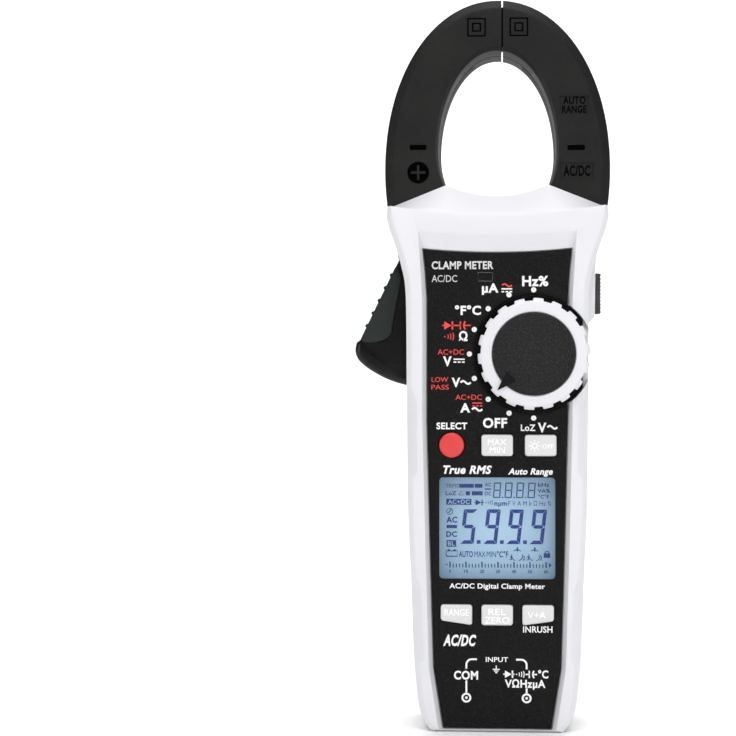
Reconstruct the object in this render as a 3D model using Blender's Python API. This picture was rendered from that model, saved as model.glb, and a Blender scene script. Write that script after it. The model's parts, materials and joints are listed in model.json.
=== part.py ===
"""Clamp meter, built as its separate pieces.

Frame: origin at the middle of the flat bottom end, +Z up towards the jaws, front face towards -Y,
+X to the right when the front is seen. Sizes are in millimetres and are scaled to metres in the mesh.
"""
import math

import bmesh
import bpy
from mathutils import Matrix, Vector

MM = 0.001
GAP = 0.3                       # clearance between pieces that touch

# Depths, front to rear
BEZEL_Y = -18.5                 # front face of the white bezel
PLATE_Y = -16.6                 # front face of the black faceplate
PLATE_BACK_Y = -15.2
DECK_Y = -14.9                  # front of the deck that carries the faceplate
DECK_BACK_Y = -13.2
BOARD_Y = -9.4                  # front of the main board
BOARD_BACK_Y = -7.8
HEAD_INNER_Y = -16.2            # inside of the head's front wall
JAW_Y = 11.0                    # half the thickness of the jaws
REAR_INNER_Y = 15.3
REAR_Y = 17.5
PARTING = GAP / 2               # half the gap between front and rear shells

# Body outline: (height, half width) up one side
BODY_SIDE = [
    (0.0, 20.6), (3.2, 23.1), (6.9, 24.4), (10.7, 25.1), (26.0, 26.4), (48.0, 27.2), (71.0, 28.2),
    (108.0, 28.6), (137.0, 28.9), (146.8, 30.4), (154.4, 32.7), (158.0, 34.0), (162.0, 35.0),
]
SHOULDER_X = 34.9
WALL = 2.2
COLLAR_WALL = 2.6
COLLAR_INNER_X = 16.1           # where the jaws leave the collar, on the opening side
COLLAR_STEPS = 6
COLLAR_MIDDLE_Z, COLLAR_PEAK_Z, COLLAR_END_Z = 168.8, 172.4, 164.9

# Jaws: both edges are half ellipses, the outer one slightly squared
JAW_OUTER = dict(a=35.75, b=53.8, z=177.5)
JAW_INNER = dict(a=18.3, b=31.5, b_low=22.0, z=183.0)
JAW_POWER = 0.97                # 1 is a true ellipse
JAW_FOOT_ANGLE = -12.0          # where the outer edge reaches the collar
JAW_STEPS = 14
JAW_SPLIT_X = 1.6               # the tips meet just right of the middle
JAW_TIP_GAP = 0.5
JAW_BEVEL = 2.7
JAW_BEVEL_DEPTH = 1.9
JAW_INNER_BEVEL = (0.7, 1.8)    # sideways and upwards
JAW_DRAFT = (0.5, 0.8)          # the opening is this much larger at the front than at the rear

# The moving jaw's tip has a tongue that the fixed jaw's tip has a groove for
TONGUE_REACH, TONGUE_Y = 0.6, 5.0
TONGUE_Z = (217.1, 229.8)
GROOVE_Z = (216.7, 230.4)
CORE_Y = 7.5                    # half the thickness of the magnetic cores
CORE_INSET = 3.8
CORE_TIP_WALL = 1.9             # from the end of a core to the tip of its jaw
PIVOT = (-22.0, 155.3)          # jaw hinge, x and z
HUB_R = 8.7
PIN_R = 2.0
PIN_BOSS_R = 4.6
LEVER_Y = 7.0

# Rubber grip on the trigger: its straight outer edge, ribs and wall
GRIP_TOP, GRIP_BOTTOM = (-32.6, 146.7), (-43.6, 123.9)
GRIP_RIBS = 5
GRIP_FIRST_RIB, GRIP_RIB_PITCH = 0.114, 0.178
GRIP_RIB_H = 0.55
GRIP_SKIN = 1.5

# Knob
KNOB = (11.4, 118.7)            # x and z
KNOB_R = 17.5
KNOB_TEETH = 18
TOOTH_DEPTH = 1.1
CAP_R = 13.4
DISH_R = 18.9
RIM_RISE = 1.0                  # height of the faceplate's rim round the knob
KNOB_FRONT_Y = -22.6
CAP_FRONT_Y = -23.4
POINTER_Y = -24.3
POINTER_ANGLE = 225.0
POINTER_TIP_R = 16.1
POINTER_BASE_R = 10.1
POINTER_HALF_W = 2.15
CAP_SEAT_Y = -19.6              # bottom of the recess in the ring that holds the cap
KNOB_BACK_Y = -15.5
DISH_FLOOR_Y = -14.6
CUP_R, CUP_INNER_R = 18.6, 15.0     # black floor of the dish, part of the faceplate
CUP_END_X = 26.8                    # where that floor ends on the right
SHAFT_R = 3.0
SHAFT_HOLE_R = 5.2
ROTOR_R = 12.0
ROTOR_Y = -12.1

# Display
LCD_Z = 63.9
LCD_W, LCD_H = 36.4, 32.0
LCD_FLANGE_X, LCD_FLANGE_Z = 19.6, 17.4     # half sizes of the window's flange
LCD_PANEL_X, LCD_PANEL_Z = 20.5, 18.0       # half sizes of the glass panel
LCD_CLEAR = 0.4                             # deck opening beyond the window's flange
SENSOR_X, SENSOR_Z = (-5.8, -1.6), (141.8, 144.2)

# Keys: centre x, centre z, width, height, slant of the lower edge (rise to the left or right)
UPPER_KEY_Z = 90.0
LOWER_KEY_Z = 36.7
KEY_W, UPPER_KEY_H, LOWER_KEY_H = 9.9, 6.7, 6.4
KEY_SLANT = 1.4
SELECT_R = 3.95
KEY_FRONT_Y = -17.7
KEY_FLANGE = 1.1                # how far the hidden flange reaches beyond the key
KEY_FLANGE_Y = -12.9
KEY_BACK_Y = -12.1

# Side button
SIDE_BUTTON_X = 32.6            # valleys between its ribs
SIDE_BUTTON_INNER_X = 28.6
SIDE_BUTTON_RIB = 0.5
SIDE_BUTTON_Y = (-7.4, 1.4)
SIDE_BUTTON_Z = (131.6, 144.4)
SIDE_SLOT = 0.6                 # slot beyond the button, front and rear; SIDE_SLOT_Z above and below
SIDE_SLOT_Z = 0.5

# Bumpers: height ranges of the hollows between them
BUMPER_HOLLOWS = ((21.5, 46.0), (80.5, 104.5))
HOLLOW_WIDTH = 3.3

# Sockets in the bottom end
SOCKET_X = 9.525                # half of the standard 19.05 mm pitch
SOCKET_R = 5.4
SHROUD_R = 6.9
SOCKET_DEPTH = 20.0
CONTACT_HOLE_R = 2.9
CONTACT_OUTER_R, CONTACT_INNER_R = 2.6, 2.0
SOCKET_BLOCK_X, SOCKET_BLOCK_Z = 17.0, 2.6

# Screws that hold the housing halves: x and z
SCREWS = [(-20.8, 14.5), (20.8, 14.5), (-3.5, 138.0), (22.4, 143.4)]
BOSS_R = 3.0
SCREW_R = 1.3
SCREW_HEAD_R = 2.5
SCREW_HEAD_H = 0.9
SCREW_HEAD_Y = 14.6
SCREW_LENGTH = 24.0

# Battery bay in the rear
BAY_X, BAY_Z = 14.8, (26.3, 84.2)
COVER_X, COVER_Z = 18.5, (21.0, 91.0)
COVER_Y = 15.5
COVER_FRAME = 1.9               # frame round the cover, beyond its edge
BAY_WALL = 1.8
COVER_SCREW_Z = 87.6


def reset_scene():
    for old in list(bpy.data.objects):
        bpy.data.objects.remove(old, do_unlink=True)


def material(name, colour, roughness, metallic=0.0):
    made = bpy.data.materials.new(name)
    made.use_nodes = True
    shader = made.node_tree.nodes["Principled BSDF"]
    shader.inputs["Base Color"].default_value = (*colour, 1.0)
    shader.inputs["Roughness"].default_value = roughness
    shader.inputs["Metallic"].default_value = metallic
    return made


# ---------------------------------------------------------------- solids

def solid(name, mesh_data, look):
    """Turn a bmesh into an object with its faces pointing out. No look means a cutter."""
    bmesh.ops.recalc_face_normals(mesh_data, faces=mesh_data.faces)
    mesh = bpy.data.meshes.new(name)
    mesh_data.to_mesh(mesh)
    mesh_data.free()
    made = bpy.data.objects.new(name, mesh)
    bpy.context.scene.collection.objects.link(made)
    if look is None:
        made.hide_render = True
        made.display_type = "WIRE"
    else:
        mesh.materials.append(look)
    return made


def loft(name, sections, look=None):
    """A solid through outlines of (x, z) points, each at its own depth y."""
    mesh_data = bmesh.new()
    rings = [[mesh_data.verts.new(Vector((x, y, z)) * MM) for x, z in outline] for y, outline in sections]
    count = len(rings[0])
    for near, far in zip(rings, rings[1:]):
        for i in range(count):
            j = (i + 1) % count
            mesh_data.faces.new((near[i], near[j], far[j], far[i]))
    bmesh.ops.triangulate(mesh_data, faces=mesh_data.faces)
    mesh_data.faces.new(rings[0])
    mesh_data.faces.new(rings[-1])
    return solid(name, mesh_data, look)


def prism(name, outline, y0, y1, look=None):
    return loft(name, [(y0, outline), (y1, outline)], look)


def box(name, low, high, look=None):
    outline = [(low[0], low[2]), (high[0], low[2]), (high[0], high[2]), (low[0], high[2])]
    return prism(name, outline, low[1], high[1], look)


def turned(name, profile, centre, axis, segments, look=None, ring=False):
    """Revolve (radius, height) points about an axis. A ring's profile is closed and never touches the axis."""
    mesh_data = bmesh.new()
    turns = [2 * math.pi * i / segments for i in range(segments)]

    def place(radius, height, turn):
        u, v = radius * math.cos(turn), radius * math.sin(turn)
        local = {"X": (height, u, v), "Y": (u, height, v), "Z": (u, v, height)}[axis]
        return (Vector(centre) + Vector(local)) * MM

    loops = []
    for radius, height in profile:
        if radius == 0:
            loops.append([mesh_data.verts.new(place(0, height, 0))] * segments)
        else:
            loops.append([mesh_data.verts.new(place(radius, height, turn)) for turn in turns])
    pairs = list(zip(loops, loops[1:]))
    if ring:
        pairs.append((loops[-1], loops[0]))
    for near, far in pairs:
        for i in range(segments):
            j = (i + 1) % segments
            corners = list(dict.fromkeys((near[i], near[j], far[j], far[i])))
            mesh_data.faces.new(corners)
    if not ring:
        for (radius, _), loop in ((profile[0], loops[0]), (profile[-1], loops[-1])):
            if radius > 0:
                mesh_data.faces.new(loop)
    return solid(name, mesh_data, look)


def rod(name, radius, start, length, axis, segments=20, look=None):
    return turned(name, [(radius, 0), (radius, length)], start, axis, segments, look)


def coil(name, radius, wire, centre, length, turns, look):
    """A helix along Y: round wire of radius `wire`, its centre line at `radius`."""
    mesh_data = bmesh.new()
    per_turn, sides = 14, 6
    count = int(turns * per_turn)
    rings = []
    for i in range(count + 1):
        turn = 2 * math.pi * i / per_turn
        out = Vector((math.cos(turn), 0, math.sin(turn)))
        middle = Vector(centre) + out * radius + Vector((0, length * i / count, 0))
        spots = [2 * math.pi * k / sides for k in range(sides)]
        ring = [middle + out * (wire * math.cos(s)) + Vector((0, wire * math.sin(s), 0)) for s in spots]
        rings.append([mesh_data.verts.new(p * MM) for p in ring])
    for near, far in zip(rings, rings[1:]):
        for k in range(sides):
            m = (k + 1) % sides
            mesh_data.faces.new((near[k], near[m], far[m], far[k]))
    mesh_data.faces.new(rings[0])
    mesh_data.faces.new(rings[-1])
    return solid(name, mesh_data, look)


def boolean(target, piece, operation):
    step = target.modifiers.new(operation.title(), "BOOLEAN")
    step.operation = operation
    step.object = piece
    step.solver = "EXACT"
    piece.hide_render = True
    piece.display_type = "WIRE"


def carve(target, *cutters):
    for cutter in cutters:
        boolean(target, cutter, "DIFFERENCE")


def fuse(target, *pieces):
    for piece in pieces:
        boolean(target, piece, "UNION")


def pivot_at(point, *pieces):
    """Put each piece's origin on its joint axis without moving the piece."""
    place = Vector(point) * MM
    for piece in pieces:
        piece.data.transform(Matrix.Translation(-place))
        piece.location = place


# ---------------------------------------------------------------- outlines

def arc(centre, radius, start, end, steps):
    turns = [math.radians(start + (end - start) * i / steps) for i in range(steps + 1)]
    return [(centre[0] + radius * math.cos(t), centre[1] + radius * math.sin(t)) for t in turns]


def rounded_rect(cx, cz, width, height, radius, steps=3):
    x, z = width / 2 - radius, height / 2 - radius
    points = []
    for i, (sx, sz) in enumerate(((1, 1), (-1, 1), (-1, -1), (1, -1))):
        points += arc((cx + sx * x, cz + sz * z), radius, 90 * i, 90 * i + 90, steps)
    return points


def half_width(z):
    for (z0, x0), (z1, x1) in zip(BODY_SIDE, BODY_SIDE[1:]):
        if z <= z1:
            return x0 + (x1 - x0) * (z - z0) / (z1 - z0)
    return BODY_SIDE[-1][1]


def collar_height(x, slope):
    """Top of the collar at x: slope 0 is its low front edge and 1 its high rear edge."""
    x = abs(x)
    front = 162.2 + 2.8 * (x / 33.0) ** 2
    if x > COLLAR_INNER_X:
        fall = COLLAR_PEAK_Z - COLLAR_END_Z
        rear = COLLAR_PEAK_Z - fall * (x - COLLAR_INNER_X) / (SHOULDER_X - COLLAR_INNER_X)
    else:
        dip = COLLAR_PEAK_Z - COLLAR_MIDDLE_Z
        rear = COLLAR_MIDDLE_Z + dip * (x / COLLAR_INNER_X) ** 2
    return front + (rear - front) * slope


def body_outline(inset=0.0, slope=1.0, top_drop=0.0, floor=0.0):
    """Body outline, counter-clockwise from the bottom right."""
    right = [(x - inset, max(z, floor)) for z, x in BODY_SIDE]
    top_x = [SHOULDER_X - inset, 29.0 - inset / 2, 22.5, COLLAR_INNER_X]
    top_x += [COLLAR_INNER_X * (1 - (i + 1) / COLLAR_STEPS) for i in range(COLLAR_STEPS)]
    top = [(x, collar_height(x, slope) - top_drop) for x in top_x]
    half = right + top
    return half + [(-x, z) for x, z in reversed(half[:-1])]


def plate_outline(grow=0.0, top=0.0):
    """Faceplate outline: top edge dips in the middle, sides taper to the bottom end."""
    sides = [(1.05, 16.9), (20.0, 19.9), (54.0, 20.9), (98.0, 22.0), (136.0, 22.0), (151.8, 23.3)]
    right = [(x + grow, z - (grow if z < 2 else -grow if z > 150 else 0)) for z, x in sides]
    corner_x, corner_z = right[-1]
    right[-1] = (corner_x, corner_z + top)
    dip = [(corner_x * k, corner_z + top - 1.2 * (1 - k * k)) for k in (0.6, 0.2)]
    half = right + dip
    return half + [(-x, z) for x, z in reversed(half)]


def jaw_edge(side, a, b, z_mid, start, end, steps=JAW_STEPS, power=1.0):
    """Points along a squared ellipse at rising or falling angles, on the right (+1) or left (-1)."""
    points = []
    for i in range(steps + 1):
        turn = math.radians(start + (end - start) * i / steps)
        across = math.copysign(abs(math.cos(turn)) ** power, math.cos(turn))
        up = math.copysign(abs(math.sin(turn)) ** power, math.sin(turn))
        points.append((side * a * across, z_mid + b * up))
    return points


def tip_angle(side, tip, a, power=1.0):
    """The angle on an ellipse of half width a at which a jaw on that side has its tip."""
    angle = math.degrees(math.acos((abs(tip) / a) ** (1 / power)))
    return 180 - angle if side * tip < 0 else angle


def jaw_outline(side, outer_inset=0.0, inner_grow=(0.0, 0.0)):
    """One jaw with its hidden base, from the tip down the outside and back up the opening."""
    a, b, mid = JAW_OUTER["a"] - outer_inset, JAW_OUTER["b"] - outer_inset, JAW_OUTER["z"]
    ia, ib = JAW_INNER["a"] + inner_grow[0], JAW_INNER["b"] + inner_grow[1]
    tip = JAW_SPLIT_X + side * JAW_TIP_GAP / 2
    start = tip_angle(side, tip, a, JAW_POWER)
    outer = jaw_edge(side, a, b, mid, start, JAW_FOOT_ANGLE, power=JAW_POWER)
    inner = jaw_edge(side, ia, ib, JAW_INNER["z"], 0, tip_angle(side, tip, ia))
    low = jaw_edge(side, ia, JAW_INNER["b_low"], JAW_INNER["z"], -40.9, -8, 4)
    if side > 0:
        base = [(34.4 - outer_inset, 165.2), (32.3, 163.4), (31.0, 158.5), (29.6, 154.2), (28.4, 149.0)]
        base += [(-14.8, 149.0)] + arc(PIVOT, HUB_R + 0.9, -30, 30, 4) + [(-13.4, 165.0), (13.4, 165.0)]
    else:
        base = [(-35.0 + outer_inset, 163.0), (-33.9, 158.0), (-32.6, 154.4), (-31.6, 150.6)]
        base += [(-31.3, 148.9), (-26.6, 147.6)] + arc(PIVOT, HUB_R, 270, 410, 8) + [(-15.6, 164.5)]
    return outer + base + low + inner


def core_outline(side, grow=0.0):
    """Magnetic core of one jaw; grow makes the pocket that holds it."""
    inset = CORE_INSET - grow
    a, b, mid = JAW_OUTER["a"] - inset, JAW_OUTER["b"] - inset, JAW_OUTER["z"]
    ia, ib = JAW_INNER["a"] + inset, JAW_INNER["b"] + inset
    tip = JAW_SPLIT_X + side * (JAW_TIP_GAP / 2 + CORE_TIP_WALL - grow)
    outer = jaw_edge(side, a, b, mid, tip_angle(side, tip, a), 0, 10)
    inner = jaw_edge(side, ia, ib, JAW_INNER["z"], 0, tip_angle(side, tip, ia), 10)
    if side > 0:
        base = [(30.4 + grow, 168.0), (28.0 + grow, 159.0), (25.6 + grow, 153.6), (23.6, 151.5 - grow)]
        base += [(1.2 - grow, 151.5 - grow), (1.2 - grow, 162.5 + grow), (15.0, 162.5 + grow)]
        base += [(19.0 - grow, 167.0)]
    else:
        base = [(-30.4 - grow, 168.0), (-28.4 - grow, 160.0)] + arc(PIVOT, 5.4 + grow, 180, 390, 10)
        base += [(-19.4 + grow, 169.0)]
    return outer + base + inner


def key_outline(cx, cz, height, slant, grow=0.0):
    """Rounded key; slant lifts the lower edge on the left (-1) or right (+1) side."""
    shape = rounded_rect(cx, cz, KEY_W + 2 * grow, height + 2 * grow, 0.9 + grow)
    lift = []
    for x, z in shape:
        share = (0.5 + slant * (x - cx) / KEY_W) if z < cz and slant else 0.0
        lift.append((x, z + KEY_SLANT * share))
    return lift


# ---------------------------------------------------------------- looks

def make_looks():
    return {
        "white": material("white_plastic", (0.84, 0.84, 0.86), 0.42),
        "black": material("black_plastic", (0.03, 0.03, 0.03), 0.6),
        "plate": material("faceplate_black", (0.015, 0.015, 0.016), 0.5),
        "gloss": material("gloss_black", (0.015, 0.015, 0.015), 0.25),
        "grip": material("grip_rubber", (0.045, 0.05, 0.048), 0.8),
        "rubber": material("seal_rubber", (0.05, 0.05, 0.05), 0.85),
        "red": material("red_key", (0.70, 0.05, 0.05), 0.4),
        "key": material("key_grey", (0.68, 0.68, 0.68), 0.5),
        "clear": material("clear_window", (0.75, 0.85, 0.9), 0.05),
        "lcd": material("display_glass", (0.30, 0.50, 0.62), 0.2),
        "board": material("board_green", (0.03, 0.18, 0.08), 0.5),
        "steel": material("steel", (0.55, 0.55, 0.56), 0.3, 1.0),
        "brass": material("brass", (0.75, 0.55, 0.25), 0.3, 1.0),
        "battery": material("battery_case", (0.10, 0.12, 0.16), 0.4),
    }


# ---------------------------------------------------------------- housings

def jaw_openings(tag):
    """Cutters for the two jaws and the trigger slot, made anew for each housing half."""
    low = [(x - 0.4, z) for x, z in jaw_edge(1, JAW_INNER["a"], JAW_INNER["b_low"], JAW_INNER["z"], -52, -20, 4)]
    right = low + [(16.6, 180.0), (34.75, 180.0), (34.75, 163.9), (32.7, 162.4)]
    left = [(-x, z) for x, z in low] + [(-16.6, 180.0), (-42.0, 180.0), (-42.0, 145.2), (-24.0, 145.2)]
    return [
        prism(f"right_jaw_opening_{tag}", right, -JAW_Y - 0.4, JAW_Y + 0.4),
        prism(f"left_jaw_opening_{tag}", left, -JAW_Y - 0.4, JAW_Y + 0.4),
        box(f"trigger_slot_{tag}", (-46, -LEVER_Y - 0.9, 107.8), (-24, LEVER_Y + 0.9, 150)),
    ]


def side_button_slot(tag):
    y0, y1 = SIDE_BUTTON_Y[0] - SIDE_SLOT, SIDE_BUTTON_Y[1] + SIDE_SLOT
    z0, z1 = SIDE_BUTTON_Z[0] - SIDE_SLOT_Z, SIDE_BUTTON_Z[1] + SIDE_SLOT_Z
    return box(f"side_button_slot_{tag}", (25.5, y0, z0), (36, y1, z1))


def side_boss_outline():
    outer = [(27.2, 128.2), (29.0, 128.8), (30.8, 130.3), (31.0, 146.0), (31.4, 150.6)]
    return outer + [(30.2, 151.0), (29.0, 147.0), (27.2, 140.0)]


def socket_notch(tag, front, back):
    x = SOCKET_BLOCK_X + GAP
    return box(f"{tag}_socket_notch", (-x, front, -1), (x, back, 4))


def knob_dish(tag, radius, back):
    return rod(f"knob_dish_{tag}", radius, (KNOB[0], -30, KNOB[1]), back + 30, "Y", 48)


def key_layout():
    """Name, look, centre and outline function of each front key."""
    upper = dict(cz=UPPER_KEY_Z, height=UPPER_KEY_H, slant=0)
    lower = dict(cz=LOWER_KEY_Z, height=LOWER_KEY_H)
    return {
        "max_min_key": dict(cx=0.0, **upper),
        "light_key": dict(cx=13.6, **upper),
        "range_key": dict(cx=-12.8, slant=-1, **lower),
        "zero_key": dict(cx=0.0, slant=0, **lower),
        "inrush_key": dict(cx=12.8, slant=1, **lower),
    }


def key_openings(tag, front, back):
    """Cutters for the six keys through a plate from front to back."""
    select = (-14.3, front, UPPER_KEY_Z)
    cutters = [rod(f"select_opening_{tag}", SELECT_R + GAP, select, back - front, "Y", 28)]
    for name, spec in key_layout().items():
        cutters.append(prism(f"{name}_opening_{tag}", key_outline(grow=GAP, **spec), front, back))
    return cutters


def bumper_cuts(tag, sign):
    """Wedges that leave the side bumpers standing proud between them."""
    cuts = []
    for zone, (z0, z1) in enumerate(BUMPER_HOLLOWS):
        x0, x1 = half_width(z0), half_width(z1)
        near = [(x0 - HOLLOW_WIDTH, z0 + 0.6), (x0 + 3, z0 - 1.8)]
        near += [(x1 + 3, z1 + 1.8), (x1 - HOLLOW_WIDTH, z1 - 0.6)]
        far = [(x0 - 0.2, z0 + 1.4), (x0 + 3, z0 + 0.8), (x1 + 3, z1 - 0.8), (x1 - 0.2, z1 - 1.4)]
        near = [(sign * x, z) for x, z in near]
        far = [(sign * x, z) for x, z in far]
        cuts.append(loft(f"bumper_cut_{tag}_{zone}", [(BEZEL_Y - 0.8, near), (BEZEL_Y + 2.9, far)]))
    return cuts


def make_front_housing(looks):
    body = loft("front_housing", [
        (BEZEL_Y, body_outline(inset=1.9, slope=0.0, floor=0.4)),
        (BEZEL_Y + 1.9, body_outline(slope=0.27)),
        (-JAW_Y - 0.4, body_outline()),
        (-PARTING, body_outline()),
    ], looks["white"])
    cavity = loft("front_cavity", [
        (DECK_BACK_Y, body_outline(inset=WALL, top_drop=COLLAR_WALL, floor=WALL)),
        (2.0, body_outline(inset=WALL, top_drop=COLLAR_WALL, floor=WALL)),
    ])
    head = [(-30, 154.2), (30, 154.2), (31.5, 161.0), (-31.5, 161.0)]
    carve(body, cavity, prism("head_pocket", head, HEAD_INNER_Y, DECK_BACK_Y + 1))
    fuse(body, rod("front_pin_boss", PIN_BOSS_R, (PIVOT[0], HEAD_INNER_Y - 0.5, PIVOT[1]), 5.1, "Y", 24))
    carve(body, loft("plate_recess", [
        (BEZEL_Y - 0.3, plate_outline(grow=1.7, top=4.2)),
        (PLATE_Y + 0.3, plate_outline(grow=GAP)),
        (DECK_Y, plate_outline(grow=GAP)),
    ]))
    fuse(body, prism("front_side_boss", side_boss_outline(), -11.0, -PARTING))
    for i, (x, z) in enumerate(SCREWS):
        fuse(body, rod(f"front_boss_{i}", BOSS_R, (x, DECK_BACK_Y - 0.5, z), 12.7, "Y", 20))
    carve(body, knob_dish("housing", DISH_R, DISH_FLOOR_Y), side_button_slot("front"), *jaw_openings("front"))
    carve(body, rod("knob_shaft_opening", SHAFT_HOLE_R, (KNOB[0], -16, KNOB[1]), 4, "Y", 28))
    carve(body, rod("front_pin_hole", PIN_R + GAP, (PIVOT[0], -14.8, PIVOT[1]), 6, "Y", 20))
    x, z = LCD_FLANGE_X + LCD_CLEAR, LCD_FLANGE_Z + LCD_CLEAR
    carve(body, box("lcd_opening_deck", (-x, -16, LCD_Z - z), (x, -12, LCD_Z + z)))
    carve(body, *key_openings("deck", -16.0, -12.0), *bumper_cuts("left", -1), *bumper_cuts("right", 1))
    carve(body, socket_notch("front", -SHROUD_R - GAP, 1))
    for i, (x, z) in enumerate(SCREWS):
        carve(body, rod(f"front_screw_hole_{i}", SCREW_R + GAP, (x, -11.5, z), 14, "Y", 16))
    return body


def make_rear_housing(looks):
    body = loft("rear_housing", [
        (PARTING, body_outline()),
        (JAW_Y + 0.4, body_outline()),
        (REAR_Y - 2.4, body_outline(slope=0.45)),
        (REAR_Y, body_outline(inset=2.4, slope=0.0, floor=0.6)),
    ], looks["white"])
    carve(body, loft("rear_cavity", [
        (-2.0, body_outline(inset=WALL, top_drop=COLLAR_WALL, floor=WALL)),
        (JAW_Y + 2.0, body_outline(inset=WALL, top_drop=COLLAR_WALL, floor=WALL)),
        (REAR_INNER_Y, body_outline(inset=WALL + 0.6, slope=0.0, top_drop=COLLAR_WALL, floor=WALL)),
    ]))
    x, z0, z1 = BAY_X + BAY_WALL, BAY_Z[0] - BAY_WALL, BAY_Z[1] + BAY_WALL
    bay = box("bay_walls", (-x, -5.0, z0), (x, REAR_Y - 0.4, z1))
    x, z0, z1 = COVER_X + COVER_FRAME, COVER_Z[0] - COVER_FRAME, COVER_Z[1] + COVER_FRAME
    frame = box("cover_frame", (-x, 11.6, z0), (x, REAR_Y - 0.3, z1))
    fuse(body, frame, bay, prism("rear_side_boss", side_boss_outline(), PARTING, 5.0))
    for i, (x, z) in enumerate(SCREWS):
        fuse(body, rod(f"rear_boss_{i}", BOSS_R + 1.0, (x, PARTING, z), REAR_INNER_Y + 0.5, "Y", 20))
    fuse(body, rod("rear_pin_boss", PIN_BOSS_R, (PIVOT[0], JAW_Y + 0.4, PIVOT[1]), 4.5, "Y", 24))
    carve(body, box("bay_space", (-BAY_X, -3.4, BAY_Z[0]), (BAY_X, 20, BAY_Z[1])))
    x, z0, z1 = COVER_X + GAP, COVER_Z[0] - GAP, COVER_Z[1] + GAP
    carve(body, box("cover_recess", (-x, 14.3, z0), (x, 20, z1)))
    carve(body, rod("cover_screw_hole", SCREW_R + GAP, (0, 9.5, COVER_SCREW_Z), 8, "Y", 16))
    carve(body, side_button_slot("rear"), *jaw_openings("rear"))
    carve(body, rod("rear_pin_hole", PIN_R + GAP, (PIVOT[0], 8, PIVOT[1]), 6.8, "Y", 20))
    carve(body, socket_notch("rear", -1, SHROUD_R + GAP))
    for i, (x, z) in enumerate(SCREWS):
        carve(body, rod(f"rear_screw_hole_{i}", SCREW_R + GAP, (x, -1, z), 20, "Y", 16))
        carve(body, rod(f"rear_head_hole_{i}", SCREW_HEAD_R + 0.4, (x, 14.2, z), 6, "Y", 20))
    return body


def make_faceplate(looks):
    plate = prism("faceplate", plate_outline(), PLATE_Y, PLATE_BACK_Y, looks["plate"])
    low, high = LCD_Z - LCD_H / 2, LCD_Z + LCD_H / 2
    carve(plate, box("lcd_opening_plate", (-LCD_W / 2, -18, low), (LCD_W / 2, -14, high)))
    carve(plate, *key_openings("plate", -18.0, -14.0))
    sensor_low = (SENSOR_X[0] - GAP, -18, SENSOR_Z[0] - GAP)
    sensor_high = (SENSOR_X[1] + GAP, -14, SENSOR_Z[1] + GAP)
    carve(plate, box("sensor_opening", sensor_low, sensor_high))
    carve(plate, knob_dish("plate", CUP_R - 0.3, 0))
    inner, outer = DISH_R + 0.1, DISH_R + 4.2
    profile = [(inner, 0.6), (inner, -RIM_RISE), (inner + 0.7, -RIM_RISE), (outer, -0.02), (outer, 0.6)]
    rim = turned("knob_rim", profile, (KNOB[0], PLATE_Y, KNOB[1]), "Y", 48, ring=True)
    beyond = prism("rim_limit", plate_outline(grow=-0.4), PLATE_Y - 3, PLATE_Y + 3)
    boolean(rim, beyond, "INTERSECT")
    floor = [(CUP_INNER_R, DECK_Y), (CUP_INNER_R, PLATE_BACK_Y), (CUP_R - 0.2, PLATE_BACK_Y)]
    floor += [(CUP_R - 0.2, PLATE_BACK_Y - 0.4), (CUP_R, PLATE_BACK_Y - 0.4), (CUP_R, DECK_Y)]
    cup = turned("knob_cup", floor, (KNOB[0], 0, KNOB[1]), "Y", 48, ring=True)
    carve(cup, box("cup_limit", (CUP_END_X, -18, 90), (40, -12, 150)))
    fuse(plate, cup, rim)


# ---------------------------------------------------------------- display and board

def make_display(looks):
    front = rounded_rect(0, LCD_Z, LCD_W - 2 * GAP, LCD_H - 2 * GAP, 0.6)
    window = prism("lcd_window", front, -16.4, -14.6, looks["clear"])
    x, z = LCD_FLANGE_X, LCD_FLANGE_Z
    fuse(window, box("lcd_window_flange", (-x, -14.9, LCD_Z - z), (x, -13.3, LCD_Z + z)))
    x, z = LCD_PANEL_X, LCD_PANEL_Z
    box("lcd_panel", (-x, -12.9, LCD_Z - z), (x, -11.7, LCD_Z + z), looks["lcd"])
    box("lcd_backlight", (-19.5, -11.4, LCD_Z - 15.4), (19.5, -9.7, LCD_Z + 15.4), looks["key"])
    for name, z in (("lcd_connector_top", LCD_Z + 16.8), ("lcd_connector_bottom", LCD_Z - 16.8)):
        box(name, (-18, -11.4, z - 0.9), (18, -9.7, z + 0.9), looks["rubber"])
    sensor_low, sensor_high = (SENSOR_X[0], -16.5, SENSOR_Z[0]), (SENSOR_X[1], -15.3, SENSOR_Z[1])
    box("sensor_window", sensor_low, sensor_high, looks["gloss"])


def make_board(looks):
    outline = [(-21, 8.5), (21, 8.5), (22.5, 40), (24, 75), (24, 139), (18, 139), (18, 146.5)]
    outline += [(-20, 146.5), (-24, 140), (-24, 75), (-22.5, 40)]
    board = prism("main_board", outline, BOARD_Y, BOARD_BACK_Y, looks["board"])
    for i, (x, z) in enumerate(SCREWS[:3]):
        carve(board, rod(f"board_hole_{i}", BOSS_R + 0.5, (x, -11, z), 5, "Y", 20))
    rod("buzzer", 5.5, (9.0, -7.4, 98.0), 3.6, "Y", 24, looks["gloss"])
    box("side_switch", (24.4, SIDE_BUTTON_Y[0], 134.0), (26.2, SIDE_BUTTON_Y[1], 138.8), looks["steel"])
    box("upper_key_mat", (-19.5, -10.8, 84.6), (19.5, -9.7, 95.4), looks["rubber"])
    box("lower_key_mat", (-19.0, -10.8, 31.3), (19.0, -9.7, 42.2), looks["rubber"])


# ---------------------------------------------------------------- keys

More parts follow.
